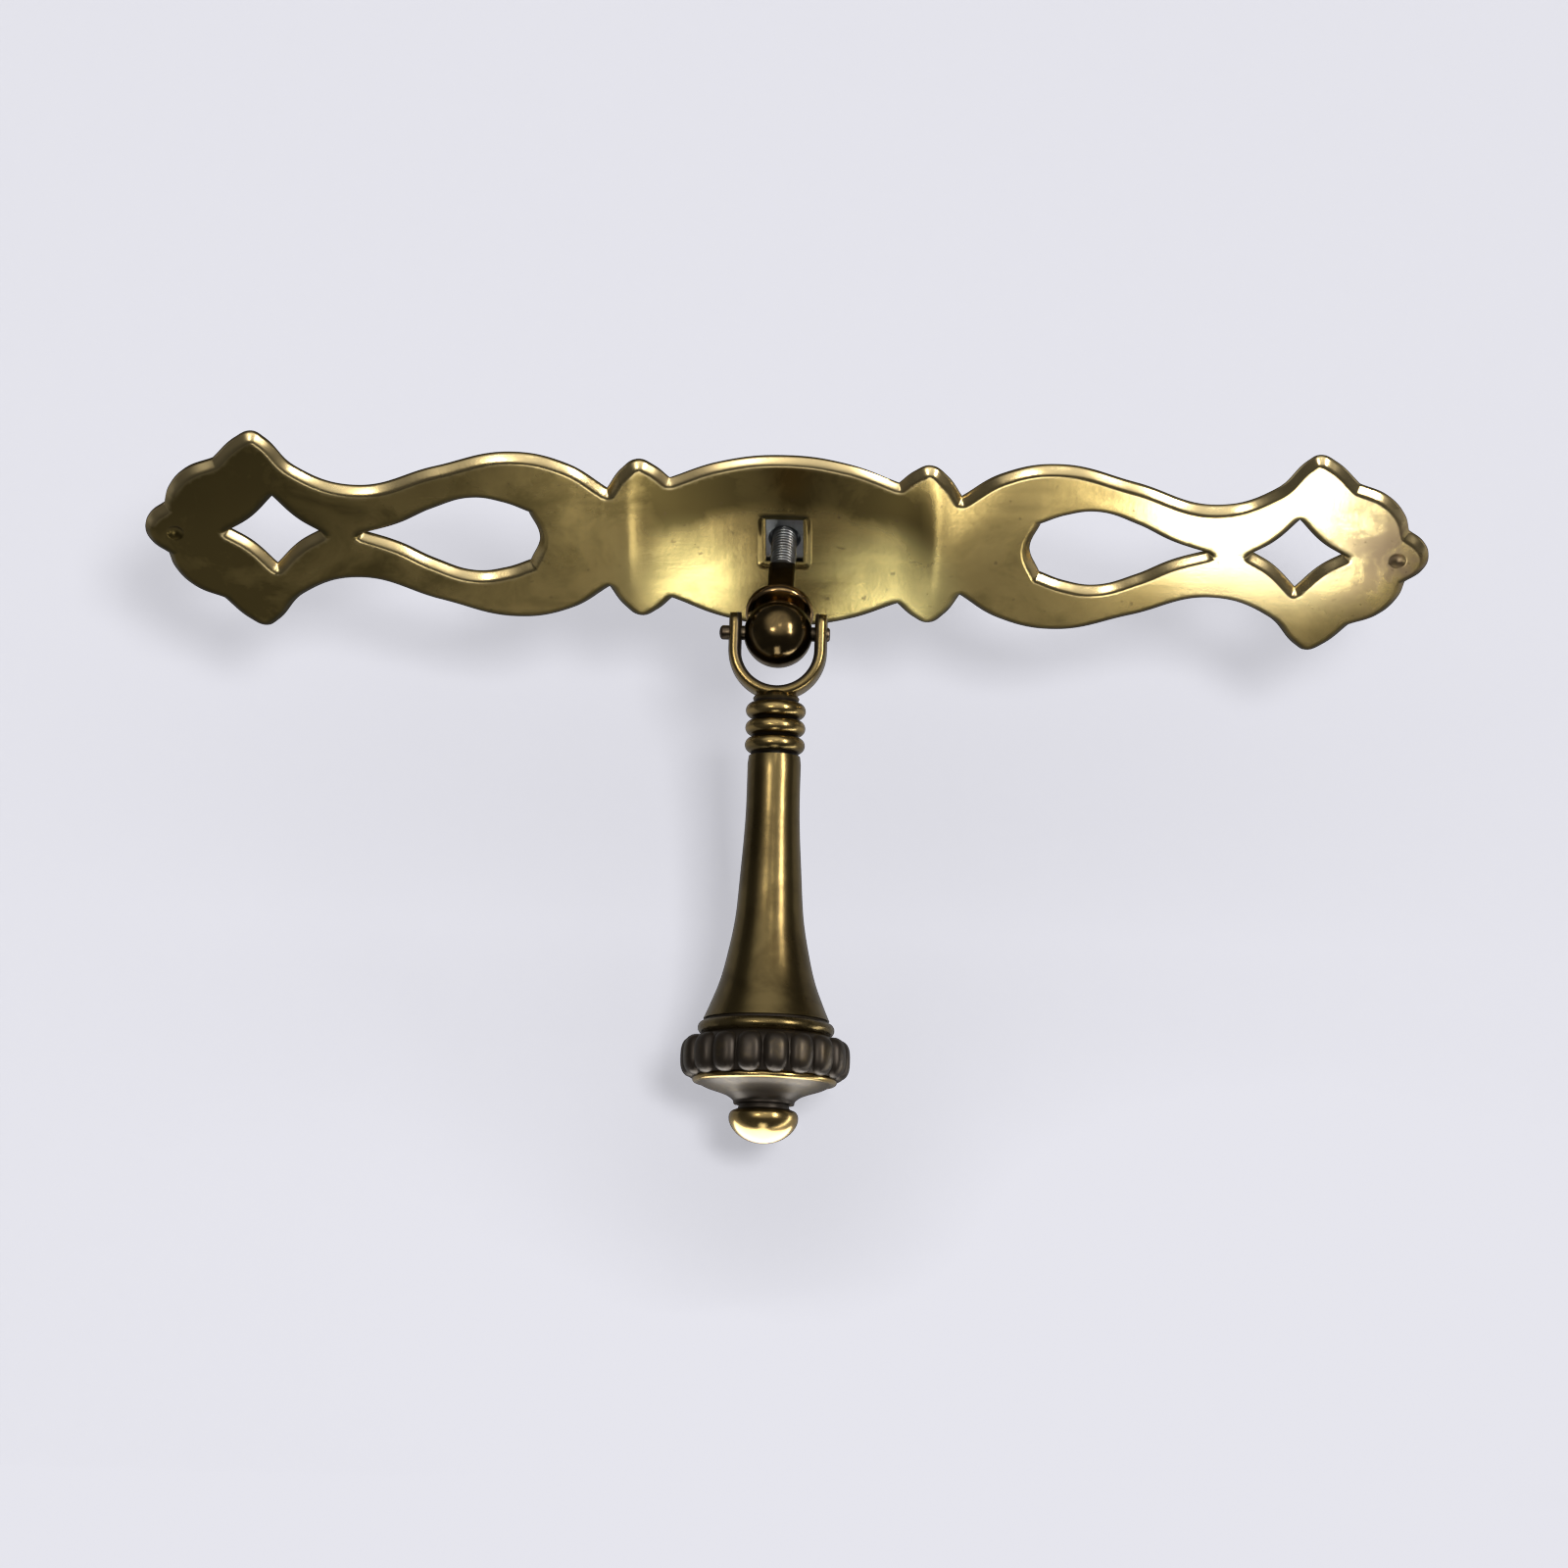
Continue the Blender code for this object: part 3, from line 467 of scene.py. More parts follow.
def loft(bm, rings, wear):
    """Adds a closed skin over rings of points, with flat ends."""
    layer = bm.verts.layers.float.get(WEAR_AND_PAINTED_EDGE_LIGHT) or bm.verts.layers.float.new(WEAR_AND_PAINTED_EDGE_LIGHT)
    made = []
    for ring in rings:
        verts = [bm.verts.new(point) for point in ring]
        for vert in verts:
            vert[layer] = wear(vert.co)
        made.append(verts)
    for upper, lower in zip(made, made[1:]):
        bridge(bm, upper, lower)
    bm.faces.new(made[0])
    bm.faces.new(reversed(made[-1]))


def arc(centre_radius, centre_z, radius, start, end, count, height=None):
    """(radius, z) points of an arc in a profile; degrees, 0 along +radius and 90 along +z."""
    tall = radius if height is None else height
    angles = [radians(start + (end - start) * i / count) for i in range(count + 1)]
    return [(centre_radius + radius * cos(angle), centre_z + tall * sin(angle)) for angle in angles]


def smooth_line(stations, pieces):
    """A cubic curve through (radius, z) stations, with each slope taken from its neighbours."""
    points = [stations[0]]
    last = len(stations) - 1
    slopes = []
    for i in range(last + 1):
        before, after = stations[max(i - 1, 0)], stations[min(i + 1, last)]
        slopes.append((after[0] - before[0]) / (after[1] - before[1]))
    for i in range(last):
        (r0, z0), (r1, z1) = stations[i], stations[i + 1]
        span = z1 - z0
        for k in range(1, pieces + 1):
            t = k / pieces
            radius = ((2 * t ** 3 - 3 * t ** 2 + 1) * r0 + (t ** 3 - 2 * t ** 2 + t) * span * slopes[i]
                      + (3 * t ** 2 - 2 * t ** 3) * r1 + (t ** 3 - t ** 2) * span * slopes[i + 1])
            points.append((radius, z0 + t * span))
    return points


def with_wear(profile, reach=0.0012, relief=0.00035):
    """Adds wear to (radius, z) points: high where the profile stands proud of its neighbourhood."""
    worn = []
    for radius, z in profile:
        around = [r for r, other in profile if abs(other - z) < reach and r > 0.3 * radius]
        level = (max(around) + min(around)) / 2
        worn.append((radius, z, min(1.0, max(0.0, 0.5 + (radius - level) / relief / 2))))
    return worn


# Node trees for what repeats

def new_tree(name, inputs):
    """A geometry node tree with its sockets, and its input and output nodes."""
    tree = bpy.data.node_groups.new(name, "GeometryNodeTree")
    tree.interface.new_socket("Geometry", in_out="INPUT", socket_type="NodeSocketGeometry")
    for label, kind in inputs.items():
        tree.interface.new_socket(label, in_out="INPUT", socket_type=kind)
    tree.interface.new_socket("Geometry", in_out="OUTPUT", socket_type="NodeSocketGeometry")
    return tree, tree.nodes.new("NodeGroupInput"), tree.nodes.new("NodeGroupOutput")


def end_tree(tree, source, sink, geometry):
    """Joins the piece with what the tree made, realises it and gives it one material."""
    join = tree.nodes.new("GeometryNodeJoinGeometry")
    tree.links.new(source.outputs["Geometry"], join.inputs[0])
    tree.links.new(geometry, join.inputs[0])
    real = tree.nodes.new("GeometryNodeRealizeInstances")
    tree.links.new(join.outputs[0], real.inputs[0])
    paint = tree.nodes.new("GeometryNodeSetMaterial")
    tree.links.new(real.outputs[0], paint.inputs["Geometry"])
    tree.links.new(source.outputs["Material"], paint.inputs["Material"])
    tree.links.new(paint.outputs[0], sink.inputs[0])


def copies_round_axis():
    """A tree that stands copies of an object evenly round Z."""
    tree, source, sink = new_tree("copies round an axis", {
        "Copy": "NodeSocketObject", "Count": "NodeSocketInt", "Material": "NodeSocketMaterial"})
    copy = tree.nodes.new("GeometryNodeObjectInfo")
    points = tree.nodes.new("GeometryNodePoints")
    index = tree.nodes.new("GeometryNodeInputIndex")
    share = tree.nodes.new("ShaderNodeMath")
    share.operation = "DIVIDE"
    angle = tree.nodes.new("ShaderNodeMath")
    angle.operation = "MULTIPLY"
    angle.inputs[1].default_value = 2 * pi
    turn = tree.nodes.new("FunctionNodeAxisAngleToRotation")
    turn.inputs["Axis"].default_value = (0, 0, 1)
    place = tree.nodes.new("GeometryNodeInstanceOnPoints")
    for start, end in (
        (source.outputs["Copy"], copy.inputs["Object"]),
        (source.outputs["Count"], points.inputs["Count"]),
        (index.outputs[0], share.inputs[0]),
        (source.outputs["Count"], share.inputs[1]),
        (share.outputs[0], angle.inputs[0]),
        (angle.outputs[0], turn.inputs["Angle"]),
        (points.outputs[0], place.inputs["Points"]),
        (copy.outputs["Geometry"], place.inputs["Instance"]),
        (turn.outputs[0], place.inputs["Rotation"]),
    ):
        tree.links.new(start, end)
    end_tree(tree, source, sink, place.outputs[0])
    return tree


def screw_thread():
    """A tree that winds a ridge round Z."""
    tree, source, sink = new_tree("screw thread", {
        "Start": "NodeSocketFloat", "Length": "NodeSocketFloat", "Pitch": "NodeSocketFloat",
        "Radius": "NodeSocketFloat", "Ridge": "NodeSocketFloat", "Material": "NodeSocketMaterial"})
    turns = tree.nodes.new("ShaderNodeMath")
    turns.operation = "DIVIDE"
    spiral = tree.nodes.new("GeometryNodeCurveSpiral")
    spiral.inputs["Resolution"].default_value = 28
    shift = tree.nodes.new("ShaderNodeCombineXYZ")
    move = tree.nodes.new("GeometryNodeTransform")
    ridge = tree.nodes.new("GeometryNodeCurvePrimitiveCircle")
    ridge.inputs["Resolution"].default_value = 4
    sweep = tree.nodes.new("GeometryNodeCurveToMesh")
    sweep.inputs["Fill Caps"].default_value = True
    for start, end in (
        (source.outputs["Length"], turns.inputs[0]),
        (source.outputs["Pitch"], turns.inputs[1]),
        (turns.outputs[0], spiral.inputs["Rotations"]),
        (source.outputs["Radius"], spiral.inputs["Start Radius"]),
        (source.outputs["Radius"], spiral.inputs["End Radius"]),
        (source.outputs["Length"], spiral.inputs["Height"]),
        (source.outputs["Start"], shift.inputs["Z"]),
        (spiral.outputs[0], move.inputs["Geometry"]),
        (shift.outputs[0], move.inputs["Translation"]),
        (source.outputs["Ridge"], ridge.inputs["Radius"]),
        (move.outputs[0], sweep.inputs["Curve"]),
        (ridge.outputs[0], sweep.inputs["Profile Curve"]),
    ):
        tree.links.new(start, end)
    end_tree(tree, source, sink, sweep.outputs[0])
    return tree


def grown(mesh, tree, values):
    """The plain mesh that a node tree makes from a mesh."""
    holder = bpy.data.objects.new(mesh.name + "_holder", mesh)
    bpy.context.scene.collection.objects.link(holder)
    modifier = holder.modifiers.new("repeat", "NODES")
    modifier.node_group = tree
    for item in tree.interface.items_tree:
        if item.in_out == "INPUT" and item.name in values:
            modifier[item.identifier] = values[item.name]
    depsgraph = bpy.context.evaluated_depsgraph_get()
    made = bpy.data.meshes.new_from_object(holder.evaluated_get(depsgraph))
    bpy.data.objects.remove(holder, do_unlink=True)
    made.name = mesh.name + "_grown"
    return made


# Backplate

def outline_stations():
    tip = PLATE_HIGH.x
    bump_end = LENS_HALF_LENGTH + BUMP_LENGTH
    return {
        "tip": tip, "bump_end": bump_end, "crest": bump_end + WAVE_CREST_FROM_BUMP,
        "neck": tip - NECK_FROM_TIP, "horn": tip - HORN_FROM_TIP,
        "shoulder": tip - SHOULDER_FROM_TIP, "tip_start": tip - TIP_LENGTH,
    }


def four_way(quarter):
    """A closed outline from its quarter, which runs from the upper middle to the right end."""
    lower = [(x, -z, sharp) for x, z, sharp in reversed(quarter[:-1])]
    right = quarter + lower
    left = [(-x, z, sharp) for x, z, sharp in reversed(right[1:-1])]
    return right + left


def plate_outline():
    """The plate's edge; the small offsets shape the curve between the named stations."""
    s = outline_stations()
    bump_middle = LENS_HALF_LENGTH + BUMP_LENGTH / 2
    waist_to_crest = s["neck"] - s["crest"]
    crest_to_waist = WAVE_HALF_HEIGHT - NECK_HALF_HEIGHT
    return four_way([
        (0, LENS_HALF_HEIGHT, False),
        (0.56 * LENS_HALF_LENGTH, LENS_HALF_HEIGHT - 0.0011, False),
        (LENS_HALF_LENGTH, LENS_HALF_HEIGHT - LENS_NOTCH_DEPTH, True),
        (bump_middle - 0.0018, BUMP_HALF_HEIGHT - 0.0008, False),
        (bump_middle, BUMP_HALF_HEIGHT, False),
        (bump_middle + 0.0019, BUMP_HALF_HEIGHT - 0.0014, False),
        (s["bump_end"], WAVE_HALF_HEIGHT - WAVE_NOTCH_DEPTH, True),
        (s["bump_end"] + 0.0046, WAVE_HALF_HEIGHT - 0.0015, False),
        (s["crest"], WAVE_HALF_HEIGHT, False),
        (s["crest"] + 0.48 * waist_to_crest, NECK_HALF_HEIGHT + 0.56 * crest_to_waist, False),
        (s["neck"], NECK_HALF_HEIGHT, False),
        (s["neck"] + 0.0068, NECK_HALF_HEIGHT + 0.0026, False),
        (s["horn"] - 0.0013, HORN_HALF_HEIGHT - 0.0008, False),
        (s["horn"], HORN_HALF_HEIGHT, False),
        (s["horn"] + 0.0019, HORN_HALF_HEIGHT - 0.0009, False),
        (s["shoulder"], SHOULDER_HALF_HEIGHT, True),
        (s["shoulder"] + 0.0033, SHOULDER_HALF_HEIGHT - 0.0016, False),
        (s["tip_start"] - 0.0006, TIP_HALF_HEIGHT + 0.0022, False),
        (s["tip_start"], TIP_HALF_HEIGHT, True),
        (s["tip"] - 0.0007, TIP_HALF_HEIGHT - 0.0016, False),
        (s["tip"], 0, False),
    ])


def teardrop_outline():
    """The right-hand piercing: a blunt inner end that narrows to a point at the neck."""
    s = outline_stations()
    inner = s["bump_end"] + TEARDROP_FROM_BUMP
    point = s["neck"] - TEARDROP_POINT_TO_NECK
    span = point - inner
    upper = [
        (inner + 0.0012, TEARDROP_END_HALF_HEIGHT, True),
        (inner + 0.20 * span, 0.90 * TEARDROP_HALF_HEIGHT, False),
        (inner + 0.38 * span, TEARDROP_HALF_HEIGHT, False),
        (inner + 0.60 * span, 0.70 * TEARDROP_HALF_HEIGHT, False),
        (inner + 0.80 * span, 0.28 * TEARDROP_HALF_HEIGHT, False),
    ]
    lower = [(x, -z, sharp) for x, z, sharp in reversed(upper)]
    return [(inner, 0, False)] + upper + [(point, 0, True)] + lower


def diamond_outline():
    """The right-hand end piercing: a diamond whose sides curve inwards."""
    centre = PLATE_HIGH.x - DIAMOND_FROM_TIP
    quarter = [
        (0, DIAMOND_HALF_HEIGHT, True),
        (0.52 * DIAMOND_HALF_WIDTH, 0.36 * DIAMOND_HALF_HEIGHT, False),
        (DIAMOND_HALF_WIDTH, 0, True),
    ]
    return [(centre + x, z, sharp) for x, z, sharp in four_way(quarter)]


def post_hole_outline():
    wide, tall = POST_HOLE_WIDTH / 2, POST_HOLE_HEIGHT / 2
    return [(-wide, tall, True), (wide, tall, True), (wide, -tall, True), (-wide, -tall, True)]


def traced(corners, spacing):
    """Evenly spaced points along a closed Bezier outline, with its sharp corners kept."""
    curve = bpy.data.curves.new("outline", "CURVE")
    curve.dimensions = "2D"
    curve.fill_mode = "NONE"
    spline = curve.splines.new("BEZIER")
    spline.bezier_points.add(len(corners) - 1)
    spline.use_cyclic_u = True
    spline.resolution_u = 24
    for point, (x, z, sharp) in zip(spline.bezier_points, corners):
        point.co = (x, z, 0)
        point.handle_left_type = "VECTOR" if sharp else "AUTO"
        point.handle_right_type = "VECTOR" if sharp else "AUTO"
    holder = bpy.data.objects.new("outline", curve)
    bpy.context.scene.collection.objects.link(holder)
    mesh = bpy.data.meshes.new_from_object(holder.evaluated_get(bpy.context.evaluated_depsgraph_get()))
    fine = np.array([vert.co[:2] for vert in mesh.vertices])
    bpy.data.objects.remove(holder, do_unlink=True)
    fine[:, 0] = np.clip(fine[:, 0], PLATE_LOW.x, PLATE_HIGH.x)
    fine[:, 1] = np.clip(fine[:, 1], PLATE_LOW.z, PLATE_HIGH.z)

    sharp_points = [np.array(corner[:2]) for corner in corners if corner[2]]
    keep = sorted({int(np.argmin(((fine - p) ** 2).sum(1))) for p in sharp_points}) or [0]
    points = []
    for first, second in zip(keep, keep[1:] + [keep[0] + len(fine)]):
        run = fine[np.arange(first, second + 1) % len(fine)]
        steps = np.linalg.norm(np.diff(run, axis=0), axis=1)
        along = np.concatenate([[0], np.cumsum(steps)])
        count = max(2, round(along[-1] / spacing))
        at = np.linspace(0, along[-1], count, endpoint=False)
        points += list(zip(np.interp(at, along, run[:, 0]), np.interp(at, along, run[:, 1])))
    return np.array(points)


def distances(points, loops):
    """Each point's distance to the nearest edge, and whether it lies inside the sheet."""
    starts = np.concatenate(loops)
    ends = np.concatenate([np.roll(loop, -1, axis=0) for loop in loops])
    away = np.empty(len(points))
    inside = np.empty(len(points), bool)
    span = ends - starts
    length = (span ** 2).sum(1)
    for first in range(0, len(points), 2000):
        some = points[first:first + 2000]
        offset = some[:, None] - starts[None]
        t = np.clip((offset * span).sum(2) / length, 0, 1)
        away[first:first + 2000] = np.sqrt(((offset - t[..., None] * span) ** 2).sum(2).min(1))
        z = some[:, 1][:, None]
        crosses = (starts[:, 1] > z) != (ends[:, 1] > z)
        rise = np.where(span[:, 1] == 0, 1e-12, span[:, 1])
        hit = starts[:, 0] + (z - starts[:, 1]) * span[:, 0] / rise
        inside[first:first + 2000] = (crosses & (some[:, 0][:, None] < hit)).sum(1) % 2 == 1
    return away, inside


def edge_facing(points, loops):
    """How far up the nearest edge of the sheet faces: 1 up, -1 down."""
    starts = np.concatenate(loops)
    span = np.concatenate([np.roll(loop, -1, axis=0) for loop in loops]) - starts
    out = np.stack([span[:, 1], -span[:, 0]], 1) / np.linalg.norm(span, axis=1)[:, None]
    middles = starts + span / 2
    _, inside = distances(middles + out * 1e-5, loops)
    out[inside] *= -1
    facing = np.empty(len(points))
    for first in range(0, len(points), 2000):
        offset = points[first:first + 2000, None] - middles[None]
        facing[first:first + 2000] = out[(offset ** 2).sum(2).argmin(1), 1]
    return facing


def inset(loop, depth):
    """Points at a depth inside a loop's edge, fanned round its corners."""
    before = loop - np.roll(loop, 1, axis=0)
    after = np.roll(loop, -1, axis=0) - loop
    points = []
    for point, a, b in zip(loop, before, after):
        first, second = atan2(a[0], -a[1]), atan2(b[0], -b[1])
        turn = (second - first + pi) % (2 * pi) - pi
        fans = 1 if abs(turn) < radians(20) else 5
        for k in range(fans):
            share = 0.5 if fans == 1 else k / (fans - 1)
            for side in (0, pi):
                angle = first + turn * share + side
                points.append(point + depth * np.array([cos(angle), sin(angle)]))
    return np.array(points)


def sheet_front(points, away):
    """Y of the plate's front skin: rolled edges, dished lens, slow waves and punch marks."""
    x, z = points[:, 0], points[:, 1]
    roll = np.clip(1 - away / sizes().edge_width, 0, 1)
    depth = sizes().edge_drop * roll ** 1.2
    lens = np.clip(1 - (x / (LENS_HALF_LENGTH + 0.0045)) ** 4, 0, 1)
    depth = depth + sizes().lens_dish * lens * np.clip(1 - (z / LENS_HALF_HEIGHT) ** 2, 0, 1)
    waves = (np.sin(x / 0.0049 + 0.6) * np.cos(z / 0.0071) + 0.7 * np.sin(x / 0.0083 - z / 0.0062 + 2.1)
             + 0.5 * np.cos(x / 0.0031 + z / 0.0094))
    depth = depth + sizes().sheet_wave * (waves + 2.2) / 2.2
    ridge = np.exp(-((np.abs(x) - LENS_HALF_LENGTH - BUMP_LENGTH / 2) / 0.0019) ** 2)
    depth = depth + 0.00005 * (1 - ridge)
    mark_x = PLATE_HIGH.x - PUNCH_MARK_FROM_TIP
    mark = np.hypot(np.abs(x) - mark_x, z) / (PUNCH_MARK_DIAMETER / 2)
    depth = depth + PUNCH_MARK_DEPTH * np.clip(1 - mark ** 2, 0, 1)
    return PLATE_LOW.y + np.minimum(depth, 0.00125)


def plate_points(loops):
    """The outline's own points, then rings that follow it and a grid between."""
    edge = sizes().edge_width
    rings = [inset(loop, edge * share) for loop in loops for share in (0.06, 0.16, 0.3, 0.48, 0.7, 1.0, 1.35)]
    depths = np.concatenate([np.full(len(ring), edge * share) for ring, share in
                             zip(rings, [0.06, 0.16, 0.3, 0.48, 0.7, 1.0, 1.35] * len(loops))])
    ring_points = np.concatenate(rings)
    away, inside = distances(ring_points, loops)
    ring_points = ring_points[inside & (away > 0.9 * depths)]

    step = 0.0007
    xs = np.arange(PLATE_LOW.x, PLATE_HIGH.x, step)
    zs = np.arange(PLATE_LOW.z, PLATE_HIGH.z, step)
    grid = np.array([(x + (step / 2 if row % 2 else 0), z) for row, z in enumerate(zs) for x in xs])
    mark_x = PLATE_HIGH.x - PUNCH_MARK_FROM_TIP
    radii = PUNCH_MARK_DIAMETER / 2 * np.array([0.2, 0.4, 0.6, 0.8, 0.94, 1.0, 1.08])
    marks = [(side * mark_x + r * cos(a), r * sin(a)) for side in (1, -1) for r in radii
             for a in np.linspace(0, 2 * pi, 24, endpoint=False)]
    off_marks = np.hypot(np.abs(grid[:, 0]) - mark_x, grid[:, 1]) > 1.15 * radii[-2]
    grid_away, grid_inside = distances(grid, loops)
    grid = grid[grid_inside & (grid_away > 1.6 * edge) & off_marks]
    return np.concatenate([*loops, ring_points, grid, np.array(marks)])


def triangles(points, loops):
    """Triangles of the sheet between its edges, as indices into points."""
    edges = []
    first = 0
    for loop in loops:
        edges += [(first + i, first + (i + 1) % len(loop)) for i in range(len(loop))]
        first += len(loop)
    scaled = [Vector(point) for point in points * 1000]
    coords, _, faces, origins, _, _ = delaunay_2d_cdt(scaled, edges, [], 0, 1e-5)
    centres = np.array([sum((coords[v] for v in face), Vector((0, 0))) / 3 for face in faces]) / 1000
    _, inside = distances(centres, loops)
    return [[origins[v][0] for v in face] for face, kept in zip(faces, inside) if kept]


def backplate_mesh():
    s = 0.00034
    loops = [traced(plate_outline(), s), traced(post_hole_outline(), s)]
    for outline in (teardrop_outline(), diamond_outline()):
        right = traced(outline, s)
        loops += [right, right * (-1, 1)]
    points = plate_points(loops)
    away, _ = distances(points, loops)
    rim = sum(len(loop) for loop in loops)
    away[:rim] = 0
    front = sheet_front(points, away)
    facing = edge_facing(points, loops)
    faces = triangles(points, loops)
    back_faces = triangles(points[:rim], loops)

    bm = bmesh.new()
    layer = bm.verts.layers.float.new(WEAR_AND_PAINTED_EDGE_LIGHT)
    skin = []
    # The plate's wear value is painted light by which way the nearest edge faces: high where it faces up (painted
    # highlight), low where it faces down (painted shade), 0.5 on the open sheet.
    for (x, z), y, gap, up in zip(points, front, away, facing):
        vert = bm.verts.new((x, y, z))
        vert[layer] = 0.5 + 0.5 * max(-1.0, min(1.0, 1.6 * up + 0.1)) * max(0.0, 1 - gap / 0.0014) ** 0.6
        skin.append(vert)
    back = []
    # The back takes a low value, which the material paints dark.
    for x, z in points[:rim]:
        vert = bm.verts.new((x, PLATE_HIGH.y, z))
        vert[layer] = 0.1
        back.append(vert)
    for face in faces:
        bm.faces.new([skin[v] for v in face])
    for face in back_faces:
        bm.faces.new([back[v] for v in reversed(face)])
    first = 0
    for loop in loops:
        ring = range(first, first + len(loop))
        bridge(bm, [skin[i] for i in ring], [back[i] for i in ring])
        first += len(loop)
    loose = [vert for vert in bm.verts if not vert.link_faces]
    bmesh.ops.delete(bm, geom=loose, context="VERTS")
    return finish_mesh("pierced_backplate", bm, radians(60))


class MakeBackplate(bpy.types.Operator):
    """Make the stamped and pierced backplate"""
    bl_idname = "drop_pull.backplate"
    bl_label = "Backplate"

    def execute(self, context):
        set_piece(backplate_mesh(), worn_plate_brass(), "plate",
                  Matrix.Identity(4), ["backplate"])
        return {"FINISHED"}


# Post and fixings, about the post's axis with the ball at the origin

def rounded_square(side, corner, z, count=4):
    """Points of a square with round corners at a height."""
    points = []
    for quarter, (sx, sy) in enumerate(((1, 1), (-1, 1), (-1, -1), (1, -1))):
        for i in range(count + 1):
            angle = pi / 2 * (quarter + i / count)
            points.append(Vector((sx * (side / 2 - corner) + corner * cos(angle),
                                  sy * (side / 2 - corner) + corner * sin(angle), z)))
    return points


class MakeBallPost(bpy.types.Operator):
    """Make the cast ball with its disc collar and square neck"""
    bl_idname = "drop_pull.ball_post"
    bl_label = "Ball post"

    def execute(self, context):
        steps = sizes().turning_steps
        soft = 0.0004
        waist = sqrt(BALL_RADIUS ** 2 - COLLAR_FRONT ** 2)
        start = degrees(atan2(COLLAR_FRONT, waist))
        profile = [(0, COLLAR_BACK), (ROD_RADIUS, COLLAR_BACK)]
        profile += arc(BALL_RADIUS - soft, COLLAR_BACK - soft, soft, 90, 0, 6)
        profile += arc(BALL_RADIUS - soft, COLLAR_FRONT + soft, soft, 0, -90, 6)
        profile += arc(0, 0, BALL_RADIUS, start - 1, -86, 44)
        profile.append((0, -BALL_RADIUS))
        bm = bmesh.new()
        turn_profile(bm, with_wear(profile, 0.0005, 0.0009), steps)
        neck_end = POST_HIGH.y - HINGE.y
        rings = [rounded_square(NECK_SIDE - 2 * inward, 0.0004, z) for inward, z in (
            (0, COLLAR_FRONT), (0, neck_end - 0.0003), (0.0001, neck_end - 0.0001), (0.0003, neck_end))]
        loft(bm, rings, lambda point: 0.30)
        set_piece(finish_mesh("ball_and_neck", bm), dark_mirror_brass(), "post",
                  POST_FRAME, ["ball_post"])
        return {"FINISHED"}


def nut_rings(start, end, flats, bore):
    """Rings of a chamfered hexagon nut round Z, from its bore out and back."""
    steps = 120
    tip = flats / 2 / cos(pi / 6)
    face = flats / 2 * 0.97
    slope = 0.5
    rings = []
    outer = []
    for i in range(steps):
        angle = 2 * pi * i / steps
        reach = flats / 2 / cos((angle + pi / 6) % (pi / 3) - pi / 6)
        outer.append((angle, min(reach, tip - 0.00005)))

    def ring(radii, heights):
        return [Vector((r * cos(a), r * sin(a), z)) for (a, _), r, z in zip(outer, radii, heights)]
    lip = 0.0003
    radii = [r for _, r in outer]
    drops = [slope * max(0.0, r - face) for r in radii]
    rings.append(ring([bore] * steps, [start + lip] * steps))
    rings.append(ring([bore + lip] * steps, [start] * steps))
    rings.append(ring([face] * steps, [start] * steps))
    rings.append(ring(radii, [start + drop for drop in drops]))
    rings.append(ring(radii, [end - drop for drop in drops]))
    rings.append(ring([face] * steps, [end] * steps))
    rings.append(ring([bore + lip] * steps, [end] * steps))
    rings.append(ring([bore] * steps, [end - lip] * steps))
    return rings


class MakeFixings(bpy.types.Operator):
    """Make the threaded stud, the washer and the hexagon nut"""
    bl_idname = "drop_pull.fixings"
    bl_label = "Stud, washer and nut"

    def execute(self, context):
        steel = zinc_steel()
        stud_radius = STUD_HIGH.x
        ridge = 0.00022
        core = stud_radius - ridge
        end = STUD_HIGH.y - HINGE.y
        start = POST_HIGH.y - HINGE.y + 0.0003
        tang = STUD_LOW.y - HINGE.y
        profile = [(0, end, 0.6), (core - 0.0003, end, 0.8), (core, end - 0.0003, 0.8), (core, start, 0.6),
                   (0.0008, start, 0.4), (0.0008, tang, 0.4), (0, tang, 0.4)]
        bm = bmesh.new()
        turn_profile(bm, profile, 48)
        mesh = grown(finish_mesh("threaded_stud_core", bm), screw_thread(), {
            "Start": start + 0.0003, "Length": end - start - 0.0008, "Pitch": sizes().thread_pitch,
            "Radius": core, "Ridge": ridge, "Material": steel})
        mesh.name = "stud_with_thread"
        set_piece(mesh, steel, "post", POST_FRAME, ["threaded_stud"])

        front, back = WASHER_LOW.y - HINGE.y, WASHER_HIGH.y - HINGE.y
        bore, rim, soft = stud_radius + 0.0003, WASHER_HIGH.x, 0.0002
        profile = [(bore, back - soft), (bore + soft, back), *arc(rim - soft, back - soft, soft, 90, 0, 4),
                   *arc(rim - soft, front + soft, soft, 0, -90, 4),
                   (bore + soft / 2, front), (bore, front + soft / 2)]
        bm = bmesh.new()
        turn_profile(bm, [(radius, z, 0.6) for radius, z in profile], sizes().turning_steps)
        set_piece(finish_mesh("round_washer", bm), steel, "washer", POST_FRAME, ["washer"])

        bm = bmesh.new()
        front, back = NUT_LOW.y - HINGE.y, NUT_HIGH.y - HINGE.y
        rings = nut_rings(front, back, NUT_HIGH.x - NUT_LOW.x, bore)
        made = [[bm.verts.new(point) for point in ring] for ring in rings]
        for upper, lower in zip(made, made[1:] + made[:1]):
            bridge(bm, upper, lower)
        mesh = finish_mesh("hexagon_nut", bm, radians(25))
        set_piece(mesh, steel, "nut", POST_FRAME @ Matrix.Rotation(pi / 6, 4, "Z"), ["hex_nut"])
        return {"FINISHED"}


# Pendant, about the hinge with the drop hanging along -Z

